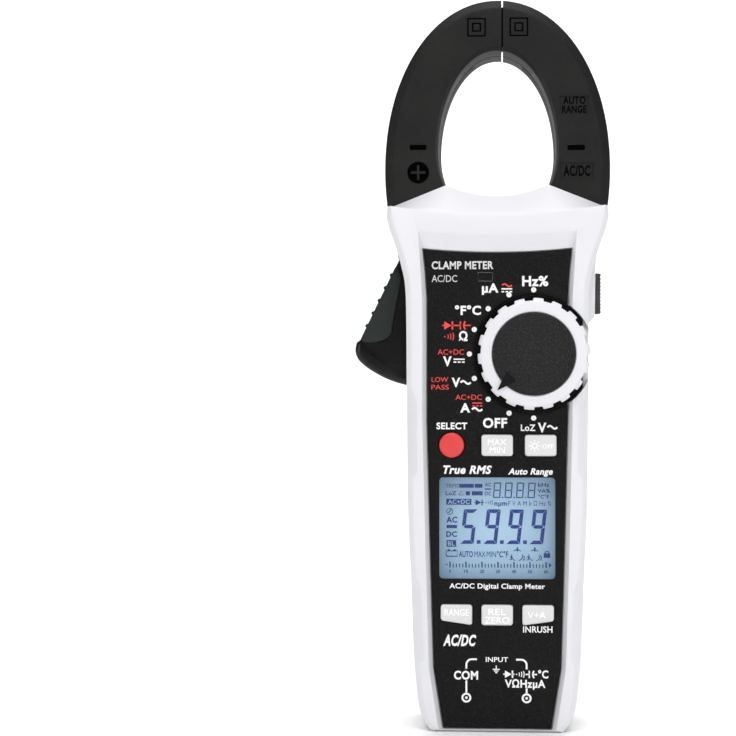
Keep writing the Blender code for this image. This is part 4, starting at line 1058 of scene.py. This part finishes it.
def diode(x0, x1, z, height, width=0.35):
    tip = x1 - 0.25 * (x1 - x0)
    back = x0 + 0.15 * (x1 - x0)
    return [
        bar(x0, z - width / 2, back + 0.1, z + width / 2),
        [(back, z - height / 2), (tip, z), (back, z + height / 2)],
        bar(tip, z - height / 2, tip + width * 1.2, z + height / 2),
        bar(tip, z - width / 2, x1, z + width / 2),
    ]


def capacitor(x0, x1, z, height, width=0.35):
    middle = (x0 + x1) / 2
    curve = arc((middle + 0.45 + height * 0.75, z), height * 0.75, 140, 220, 10)
    return [
        bar(x0, z - width / 2, middle - 0.45, z + width / 2),
        bar(middle - 0.45 - width, z - height / 2, middle - 0.45, z + height / 2),
        stroke(curve, width * 1.2),
        bar(middle + 0.5, z - width / 2, x1, z + width / 2),
    ]


def beeper(x0, x1, z, height, width=0.28):
    """A dot and three growing sound arcs."""
    shapes = [disc(x0 + 0.25, z, 0.22, 12)]
    for i in (1, 2, 3):
        radius = (x1 - x0) * (0.16 + 0.26 * i)
        half = math.degrees(math.asin(min(0.95, height * (0.3 + 0.2 * i) / 2 / radius)))
        shapes.append(stroke(arc((x0, z), radius, -half, half, 10), width))
    return shapes


def sun(cx, cz, radius, width=0.28):
    shapes = [ring_shape(cx, cz, radius * 0.42, width)]
    for i in range(8):
        turn = math.radians(45 * i)
        ray = [(cx + r * math.cos(turn), cz + r * math.sin(turn)) for r in (radius * 0.62, radius)]
        shapes.append(stroke(ray, width))
    return shapes


def earth(cx, z, width):
    shapes = [bar(cx - 0.17, z, cx + 0.17, z + 1.2)]
    for i, share in enumerate((1.0, 0.62, 0.3)):
        half, drop = width * share / 2, 0.52 * i
        shapes.append(bar(cx - half, z - 0.18 - drop, cx + half, z + 0.16 - drop))
    return shapes


def digit(x, z, width, height, thick, lean, lit, gap=0.07):
    """Seven-segment digit with mitred segment ends, leaning to the right."""
    half = height / 2
    t = thick
    upper = [(0, half + gap), (0, height - gap), (t, height - t - gap), (t, half + t / 2 + gap)]
    lower = [(x_, height - z_) for x_, z_ in upper]
    segments = {
        "a": [(gap, height), (width - gap, height), (width - t - gap, height - t), (t + gap, height - t)],
        "d": [(gap, 0), (width - gap, 0), (width - t - gap, t), (t + gap, t)],
        "g": [(t * 0.45, half), (t, half + t / 2), (width - t, half + t / 2), (width - t * 0.45, half),
              (width - t, half - t / 2), (t, half - t / 2)],
        "f": upper,
        "e": lower,
        "b": [(width - x_, z_) for x_, z_ in upper],
        "c": [(width - x_, z_) for x_, z_ in lower],
    }
    return [[(x + px + lean * pz, z + pz) for px, pz in segments[key]] for key in lit]


def rim_rise(x, z):
    """How far the faceplate's cone round the knob stands proud at x, z."""
    away = math.hypot(x - KNOB[0], z - KNOB[1]) - DISH_R
    steps = [(0.6, RIM_RISE), (1.4, RIM_RISE - 0.15), (2.7, 0.28), (3.7, 0.05), (4.2, 0.0)]
    if away <= steps[0][0]:
        return RIM_RISE
    for (d0, r0), (d1, r1) in zip(steps, steps[1:]):
        if away <= d1:
            return r0 + (r1 - r0) * (away - d0) / (d1 - d0)
    return 0.0


def letter_mesh(text, weight, lean):
    """Flat filled letters at size 1, as a mesh in its own x, y plane."""
    curve = bpy.data.curves.new("letters", "FONT")
    curve.body = text
    curve.offset = weight
    curve.shear = lean
    curve.resolution_u = 3
    curve.space_character = 1 + 2.2 * weight
    curve.extrude = 0.01
    holder = add_object("letters", curve)
    bpy.context.view_layer.update()
    mesh = bpy.data.meshes.new_from_object(holder.evaluated_get(bpy.context.evaluated_depsgraph_get()))
    bpy.data.objects.remove(holder, do_unlink=True)
    bpy.data.curves.remove(curve)
    welded = bmesh.new()
    welded.from_mesh(mesh)
    bmesh.ops.remove_doubles(welded, verts=welded.verts, dist=1e-5)
    welded.to_mesh(mesh)
    welded.free()
    return mesh


def cap_height():
    mesh = letter_mesh("H", 0.0, 0.0)
    size = max(v.co.y for v in mesh.vertices) - min(v.co.y for v in mesh.vertices)
    bpy.data.meshes.remove(mesh)
    return size


CAP = cap_height()


def print_and_shade_layer(name, look, body, y, shapes=(), words=(), dots=(), follow=False):
    """One thin layer at depth y, used for print and for the painted shade on the jaw mark floors.

    Each word is (text, left, right, baseline, capital height[, weight[, lean]]) and each dot (x, z, radius).
    """
    mesh_data = bmesh.new()
    printed = [(disc(*dot), dot[:2]) for dot in dots] + [(outline, None) for outline in shapes]
    for outline, hub in printed:
        top = mesh_data.verts.new((hub[0], y - PRINT_RISE, hub[1])) if hub else None
        front = [mesh_data.verts.new((x, y - PRINT_RISE, z)) for x, z in outline]
        back = [mesh_data.verts.new((x, y, z)) for x, z in outline]
        if not top:
            mesh_data.faces.new(front)
        mesh_data.faces.new(back[::-1])
        for i in range(len(outline)):
            j = (i + 1) % len(outline)
            if top:
                mesh_data.faces.new((top, front[i], front[j]))
            mesh_data.faces.new((front[i], front[j], back[j], back[i]))
    for word in words:
        text, left, right, base, capital = word[:5]
        weight = word[5] if len(word) > 5 else WORD_WEIGHT
        lean = word[6] if len(word) > 6 else 0.0
        mesh = letter_mesh(text, weight, lean)
        x0, x1 = min(v.co.x for v in mesh.vertices), max(v.co.x for v in mesh.vertices)
        stretch, rise = (right - left) / (x1 - x0), capital / CAP
        for vertex in mesh.vertices:
            x, up, out = vertex.co
            vertex.co = (left + (x - x0) * stretch, y - PRINT_RISE * (0.5 + 50 * out), base + up * rise)
        mesh_data.from_mesh(mesh)
        bpy.data.meshes.remove(mesh)
    for vertex in mesh_data.verts:
        if follow:
            vertex.co.y -= rim_rise(vertex.co.x, vertex.co.z)
        vertex.co *= MM
    made = link(name, mesh_data, look, 0)
    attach(made, body)
    return made


def make_dial_print():
    dots = [(x, z, DOT_R) for x, z in arc(KNOB, DOT_RING_R, 90, 270, 8)]
    white = dc_mark(1.35, 4.7, 138.95, 0.42) + dc_mark(-13.7, -10.2, 116.85, 0.42)
    white += [wave(x0, x1, z, 0.45, 0.6) for x0, x1, z in (
        (-11.5, -8.3, 109.75), (-7.9, -4.7, 101.3), (15.7, 18.8, 95.7))]
    words = [
        ("Hz%", 7.8, 16.0, 140.1, 2.95, BOLD), ("\u00b5A", -4.8, 0.4, 138.1, 2.7, BOLD),
        ("\u00b0F\u00b0C", -13.3, -5.1, 131.1, 2.65, BOLD), ("\u03a9", -12.0, -9.3, 122.9, 2.7, BOLD),
        ("V", -17.0, -14.3, 115.0, 2.8, BOLD), ("V", -14.3, -11.6, 108.4, 2.7, BOLD),
        ("A", -11.6, -8.5, 100.4, 2.7, BOLD), ("OFF", -4.5, 3.1, 95.6, 2.85, BOLD),
        ("LoZ", 7.4, 12.0, 94.6, 1.9), ("V", 12.7, 15.4, 94.2, 2.8, BOLD),
        ("SELECT", -19.1, -9.4, 95.1, 1.95, MEDIUM), ("True RMS", -17.0, -1.7, 81.1, 2.4, BOLD, SLANT),
        ("Auto Range", 3.4, 17.4, 80.9, 1.85, MEDIUM, SLANT),
        ("AC/DC Digital Clamp Meter", -15.0, 15.0, 45.0, 1.5), ("INRUSH", 8.1, 17.3, 31.3, 1.9, 0.02),
        ("AC/DC", -17.0, -6.6, 27.0, 3.2, 0.04, SLANT), ("COM", -13.6, -6.0, 16.4, 2.5, BOLD),
        ("\u00b0C", 12.8, 16.0, 17.0, 2.3, MEDIUM), ("V\u03a9Hz\u00b5A", 2.4, 15.1, 14.0, 2.3, MEDIUM),
        ("INPUT", -3.6, 3.4, 21.95, 1.45, 0.015),
    ]
    white += diode(1.9, 5.4, 18.1, 2.3, 0.42) + beeper(5.8, 8.6, 18.1, 2.3)
    white += capacitor(8.9, 12.5, 18.1, 2.3, 0.42) + earth(-0.3, 19.6, 2.2)
    for side, column in ((-1, -9.68), (1, 9.22)):
        corner = arc((column - side * LEAD_BEND, 22.7 - LEAD_BEND), LEAD_BEND, 90, 90 - side * 90, 8)
        white.append(stroke([(column - side * 3.3, 22.7)] + corner + [(column, 19.7)], LEAD_W))
        white.append(stroke([(column, 16.0 if side < 0 else 13.7), (column, 12.2)], LEAD_W))
        white.append(ring_shape(column, 10.6, 1.25, 0.6))
        white.append(disc(column, 10.6, 0.42))
    print_and_shade_layer("print_white", PRINT_WHITE, "meter_body", PLATE_Y, white, words, dots, True)

    red = diode(-17.2, -13.4, 127.7, 2.6, 0.45) + capacitor(-13.5, -8.3, 127.7, 2.6, 0.42)
    red += beeper(-16.7, -13.5, 124.2, 2.6) + [wave(1.5, 4.6, 140.3, 0.4, 0.5)]
    red += dc_mark(-7.8, -4.7, 103.1, 0.36)
    words = [
        ("AC+DC", -18.7, -10.4, 118.5, 1.65, LIGHT), ("LOW", -20.6, -15.4, 109.9, 1.5, LIGHT),
        ("PASS", -20.7, -15.2, 107.5, 1.5, LIGHT), ("AC+DC", -13.1, -4.8, 104.3, 1.6, LIGHT),
    ]
    print_and_shade_layer("print_red", PRINT_RED, "meter_body", PLATE_Y, red, words, follow=True)
    heading = [("CLAMP METER", -20.6, -1.2, 145.5, 2.3, MEDIUM), ("AC/DC", -20.6, -12.6, 141.4, 2.1, LIGHT)]
    print_and_shade_layer("print_grey", PRINT_GREY, "meter_body", PLATE_Y, (), heading)


def make_key_print():
    legends = {
        "max_min_key": [("MAX", -2.95, 2.9, 90.1, 1.85, LIGHT), ("MIN", -2.35, 2.4, 87.65, 1.85, LIGHT)],
        "light_key": [("OFF", 14.1, 17.6, 89.1, 1.35, 0.004)],
        "range_key": [("RANGE", -16.5, -8.9, 36.5, 2.05, KEY_WEIGHT)],
        "zero_key": [("REL", -2.75, 2.75, 36.8, 1.95, KEY_WEIGHT),
                     ("ZERO", -3.9, 3.8, 34.15, 2.0, KEY_WEIGHT)],
        "inrush_key": [("V+A", 9.5, 15.2, 35.9, 1.95, KEY_WEIGHT)],
    }
    for node, words in legends.items():
        shapes = sun(11.7, 89.9, 1.8) if node == "light_key" else ()
        print_and_shade_layer(f"{node}_legend", PRINT_KEY, body_of(node), KEY_FRONT_Y, shapes, words)


# ---------------------------------------------------------------- display

SCALE_X = -14.9
BIG_PITCH, SMALL_PITCH = 7.3, 3.62


def make_lcd_segments():
    shapes = []
    for i, lit in enumerate(("afgcd", "abcdfg", "abcdfg", "abcdfg")):
        shapes += digit(-11.8 + BIG_PITCH * i, 58.65, 4.35, 10.95, 1.15, 0.118, lit)
        if i < 3:
            shapes.append(bar(-6.45 + BIG_PITCH * i, 58.7, -5.25 + BIG_PITCH * i, 59.85))
    for i in range(4):
        shapes += digit(-1.35 + SMALL_PITCH * i, 73.2, 2.3, 4.9, 0.36, 0.07, "abcdefg", 0.04)
        if i < 3:
            shapes.append(bar(1.5 + SMALL_PITCH * i, 73.15, 1.95 + SMALL_PITCH * i, 73.6))
    for i in range(31):
        x = SCALE_X + 1.01 * i
        half, top = (0.15, 52.35) if i % 5 else (0.22, 53.0)
        shapes.append(bar(x - half, 51.15, x + half, top))
    shapes += [bar(-16.4, 51.95, -15.6, 52.2), [(16.3, 52.9), (17.1, 52.05), (16.3, 51.2)]]
    shapes += [bar(-3.9, 75.8, -1.95, 76.2), bar(-16.0, 63.6, -12.7, 64.6)]
    shapes += [bar(-12.0, 76.4, -7.4, 77.65), bar(-7.1, 76.4, -4.65, 77.65), bar(-9.95, 74.0, -8.6, 75.3)]
    shapes += [bar(-8.0, 74.0, -4.6, 75.3), bar(-16.1, 71.0, -8.15, 72.9), bar(-16.0, 57.7, -12.95, 59.8)]
    shapes.append(stroke([(-12.2, 74.1), (-11.3, 75.3), (-10.5, 74.1), (-12.2, 74.1)], 0.22))
    shapes += diode(-7.3, -4.2, 71.75, 1.9, 0.3) + beeper(-3.8, -1.4, 71.75, 1.7, 0.22)
    shapes += [ring_shape(-15.0, 68.9, 0.95, 0.22), stroke([(-15.4, 68.4), (-14.5, 69.6)], 0.3)]
    shapes += [stroke([(-16.1, 54.7), (-16.1, 56.4), (-12.6, 56.4), (-12.6, 54.7), (-16.1, 54.7)], 0.32)]
    shapes += [bar(-15.6, 56.4, -14.9, 56.9), bar(-13.8, 56.4, -13.1, 56.9)]
    for cx in (6.3, 11.75):
        for start in (120, 240, 0):
            shapes.append(stroke(arc((cx, 55.1), 1.75, start - 90 + 18, start - 90 + 100, 8), 0.26))
    shapes += [bar(14.65, 54.4, 16.7, 55.8), stroke(arc((15.67, 55.8), 0.65, 0, 180, 10), 0.28)]
    words = [
        ("TRMS", -16.3, -12.2, 76.4, 1.2, LIGHT), ("LoZ", -16.3, -12.9, 74.05, 1.2),
        ("AC", -3.9, -1.9, 76.9, 1.05), ("DC", -3.9, -1.9, 74.05, 1.1), ("kHz", 12.9, 16.4, 76.8, 1.2),
        ("VA%", 12.7, 16.7, 74.95, 1.1), ("\u00b0C\u00b0F", 12.9, 16.3, 73.1, 1.1),
        ("n\u00b5m", -0.9, 3.1, 70.8, 1.45, MEDIUM), ("F V A M k \u03a9 Hz %", 3.5, 17.0, 70.8, 1.45, LIGHT),
        ("AC", -16.1, -12.6, 65.4, 1.75, BOLD), ("DC", -16.1, -12.7, 60.9, 1.6, BOLD),
        ("AUTO", -12.1, -7.7, 54.5, 1.8), ("MAX", -7.2, -3.7, 54.5, 1.8, LIGHT),
        ("MIN", -3.3, -0.4, 54.5, 1.8, LIGHT), ("\u00b0C\u00b0F", -0.1, 3.5, 54.5, 1.8),
    ]
    words += [(figure, left, right, base, 1.2) for figure, left, right, base in (
        ("3", 3.9, 4.7, 53.6), ("2", 8.0, 8.8, 53.6), ("1", 6.1, 6.6, 56.4),
        ("3", 9.3, 10.1, 53.6), ("2", 13.4, 14.2, 53.6), ("1", 11.6, 12.1, 56.4))]
    for i in range(7):
        x = SCALE_X + 5.05 * i
        half = 0.65 if i else 0.25
        words.append((str(10 * i), x - half, x + half, 49.5, 0.95))
    print_and_shade_layer("lcd_segments", SEGMENT, "meter_body", LCD_FRONT_Y - 0.02, shapes, words)
    pale = [("AC+DC", -15.6, -8.7, 71.35, 1.25, 0.015), ("BL", -15.6, -13.4, 58.1, 1.3, 0.015)]
    print_and_shade_layer("lcd_reversed", LOOKS["display_glass"], "meter_body", LCD_FRONT_Y - 0.06, (), pale)


# ---------------------------------------------------------------- side button, battery cover, screws, sockets

BUTTON_RIBS, BUTTON_RIB_H, BUTTON_PROUD_X = 11, 0.16, 30
BUTTON_RIB = ((0.06, 0.0), (0.22, 0.75), (0.34, 1.0), (0.62, 1.0), (0.74, 0.75), (0.9, 0.0))


def make_side_button():
    a, b = low("side_button"), high("side_button")
    outer = b.x - 0.22
    points = [(a.x, a.z), (outer - 0.5, a.z)]
    for i in range(BUTTON_RIBS):
        for share, rise in BUTTON_RIB:
            points.append((outer - BUTTON_RIB_H * (1 - rise), a.z + (b.z - a.z) * (i + share) / BUTTON_RIBS))
    points += [(outer - 0.5, b.z), (a.x, b.z)]

    def narrowed(amount):
        return [(x - (amount if x > BUTTON_PROUD_X else 0), z) for x, z in points]

    button = loft("side_button_fine", [
        (a.y, narrowed(0.8)), (a.y + 0.3, narrowed(0.3)), (a.y + 0.9, points),
        (b.y - 0.9, points), (b.y - 0.3, narrowed(0.3)), (b.y, narrowed(0.8)),
    ], LOOKS["seal_rubber"], 40)
    stand_for(button, "side_button")


COVER_GROOVES, GROOVE_PITCH, GROOVE_DEPTH = 5, 2.2, 0.45


def make_battery_cover():
    a, b = low("battery_cover"), high("battery_cover")
    outline = rounded_rect(0, centre_of("battery_cover", "z"), b.x * 2, b.z - a.z, 1.8, 8)
    cover = soft_prism("battery_cover_fine", outline, b.y, a.y, 0.5, 0.0, LOOKS["white_plastic"], 5)
    x, z = centre_of("battery_cover_screw", "x"), centre_of("battery_cover_screw", "z")
    pieces = cuts(rod(3.0, (x, b.y - 1.2, z), 3.0, "Y", 40), rod(1.7, (x, 12, z), 8, "Y", 24))
    for i in range(COVER_GROOVES):
        groove = rounded_rect(0, a.z + 6.0 + GROOVE_PITCH * i, 16.0, 1.0, 0.45, 4)
        pieces += cuts(prism(groove, b.y - GROOVE_DEPTH, b.y + 1))
    stand_for(apply_booleans(cover, pieces), "battery_cover")


def make_screw(node):
    """Pan head with a cross recess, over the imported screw's shank."""
    a, b = low(node), high(node)
    cx, cz, head_r = (a.x + b.x) / 2, (a.z + b.z) / 2, (b.x - a.x) / 2
    head = b.y - 0.9
    profile = [(0, a.y), (0.9, a.y), (1.3, a.y + 1.2), (1.3, head), (head_r, head), (head_r, head + 0.35)]
    profile += [(head_r - 0.25, head + 0.7), (head_r - 0.8, b.y), (0, b.y)]
    screw = turned(f"{node}_fine", profile, (cx, 0, cz), "Y", 40, LOOKS["steel"])
    slots = [box_solid((cx - w, b.y - 0.6, cz - h), (cx + w, b.y + 1, cz + h))
             for w, h in ((1.5, 0.28), (0.28, 1.5))]
    stand_for(apply_booleans(screw, cuts(*slots)), node)


SOCKET_X = 9.525
WELL = [(0, -1), (6.1, -1), (6.0, 0.0), (5.4, 0.7), (5.4, 19.0), (0, 19.0)]


def make_socket_block():
    size = high("socket_block")
    outline = rounded_rect(0, 0, size.x * 2, size.y * 2, 2.0, 6)
    rings = [[(x, y, z) for x, y in grown(outline, -0.4 if z == 0 else 0)] for z in (0, 0.4, 2.6)]
    block = rings_solid("socket_block_fine", rings, LOOKS["black_plastic"])
    pieces = joins(*[rod(6.8, (x, 0, 2.0), size.z - 2.0, "Z", 64) for x in (-SOCKET_X, SOCKET_X)])
    for x in (-SOCKET_X, SOCKET_X):
        well = turned("tool", WELL, (x, 0, 0), "Z", 64)
        pieces += cuts(well, rod(2.9, (x, 0, 10), 15, "Z", 32))
    stand_for(apply_booleans(block, pieces), "socket_block")


def make_contact(node):
    a, b = low(node), high(node)
    profile = [(2.0, a.z + 0.4), (2.25, a.z), (2.6, a.z + 0.3), (2.6, b.z), (2.0, b.z)]
    tube = turned(f"{node}_fine", profile, ((a.x + b.x) / 2, 0, 0), "Z", 48, LOOKS["brass"], ring=True)
    stand_for(tube, node)


# ---------------------------------------------------------------- build

make_front_housing()
make_rear_housing()
make_faceplate()
make_keys()
make_knob()
make_jaws()
make_trigger()
make_dial_print()
make_key_print()
make_lcd_segments()
make_side_button()
make_battery_cover()
for screw_node in SCREW_NAMES + ["battery_cover_screw"]:
    make_screw(screw_node)
make_socket_block()
for contact_node in ("com_contact", "input_contact"):
    make_contact(contact_node)


# ---------------------------------------------------------------- stage, lights, camera

def make_stage():
    """Pale floor that curves up into a backdrop."""
    wide, front_y, back_y, height, bend = 3.0, -1.6, 1.4, 2.6, 0.6
    profile = [(front_y, 0.0), (back_y - bend, 0.0)]
    for i in range(1, 13):
        turn = math.pi / 2 * i / 12
        profile.append((back_y - bend + bend * math.sin(turn), bend - bend * math.cos(turn)))
    profile.append((back_y, height))
    mesh_data = bmesh.new()
    columns = [[mesh_data.verts.new((x, y, z)) for y, z in profile] for x in (-wide, wide)]
    for i in range(len(profile) - 1):
        mesh_data.faces.new((columns[0][i], columns[1][i], columns[1][i + 1], columns[0][i + 1]))
    mesh = bpy.data.meshes.new("studio_floor")
    mesh_data.to_mesh(mesh)
    mesh_data.free()
    floor = add_object("studio_floor", mesh)
    look = new_look("studio_white", (0.93, 0.93, 0.93), 0.9)
    mesh.materials.append(look)
    mesh.shade_smooth()


def point_at(thing, place, aim):
    thing.location = place
    thing.rotation_mode = "QUATERNION"
    thing.rotation_quaternion = (aim - place).to_track_quat("-Z", "Y")


def area_light(name, place, aim, width, height, power):
    data = bpy.data.lights.new(name, "AREA")
    data.shape = "RECTANGLE"
    data.size, data.size_y = width, height
    data.energy = power
    point_at(add_object(name, data), Vector(place), Vector(aim))


def make_lights():
    middle = (0.0, 0.0, 0.12)
    area_light("key_light", (0.0, -0.75, 1.25), middle, 0.9, 0.5, 8.9)
    area_light("front_light", (0.35, -1.05, 0.12), middle, 0.4, 0.2, 1.1)
    area_light("top_light", (0.0, -0.10, 1.40), middle, 1.0, 0.6, 6.0)
    area_light("fill_right", (1.0, -0.9, 0.25), middle, 0.6, 0.45, 4.2)
    area_light("fill_left", (-1.0, -0.9, 0.25), middle, 0.6, 0.45, 4.0)
    area_light("backdrop_light", (0.0, 0.75, 1.5), (0.0, 1.5, 0.35), 1.8, 0.5, 21.0)
    world = bpy.data.worlds.new("studio")
    world.use_nodes = True
    sky = world.node_tree.nodes["Background"]
    sky.inputs["Color"].default_value = (1.0, 1.0, 1.0, 1.0)
    sky.inputs["Strength"].default_value = 0.12
    bpy.context.scene.world = world
    bpy.context.scene.view_settings.view_transform = "Standard"


def make_camera():
    """Level and almost straight on, with the meter in the right half of the frame."""
    distance, eye_height, aim_height = 0.600, 0.1140, 0.1143
    field_width, meter_offset = 231.84 * MM, 40.698 * MM
    front_y, plate_y = KNOB_FRONT_Y * MM, PLATE_Y * MM
    data = bpy.data.cameras.new("camera")
    data.sensor_width = 36.0
    data.lens = data.sensor_width * (distance + (plate_y - front_y)) / field_width
    eye = Vector((0.0, front_y - distance, eye_height))
    aim = Vector((-meter_offset, plate_y, aim_height))
    camera = add_object("camera", data)
    point_at(camera, eye, aim)
    bpy.context.scene.camera = camera


make_stage()
make_lights()
make_camera()

bpy.context.view_layer.update()
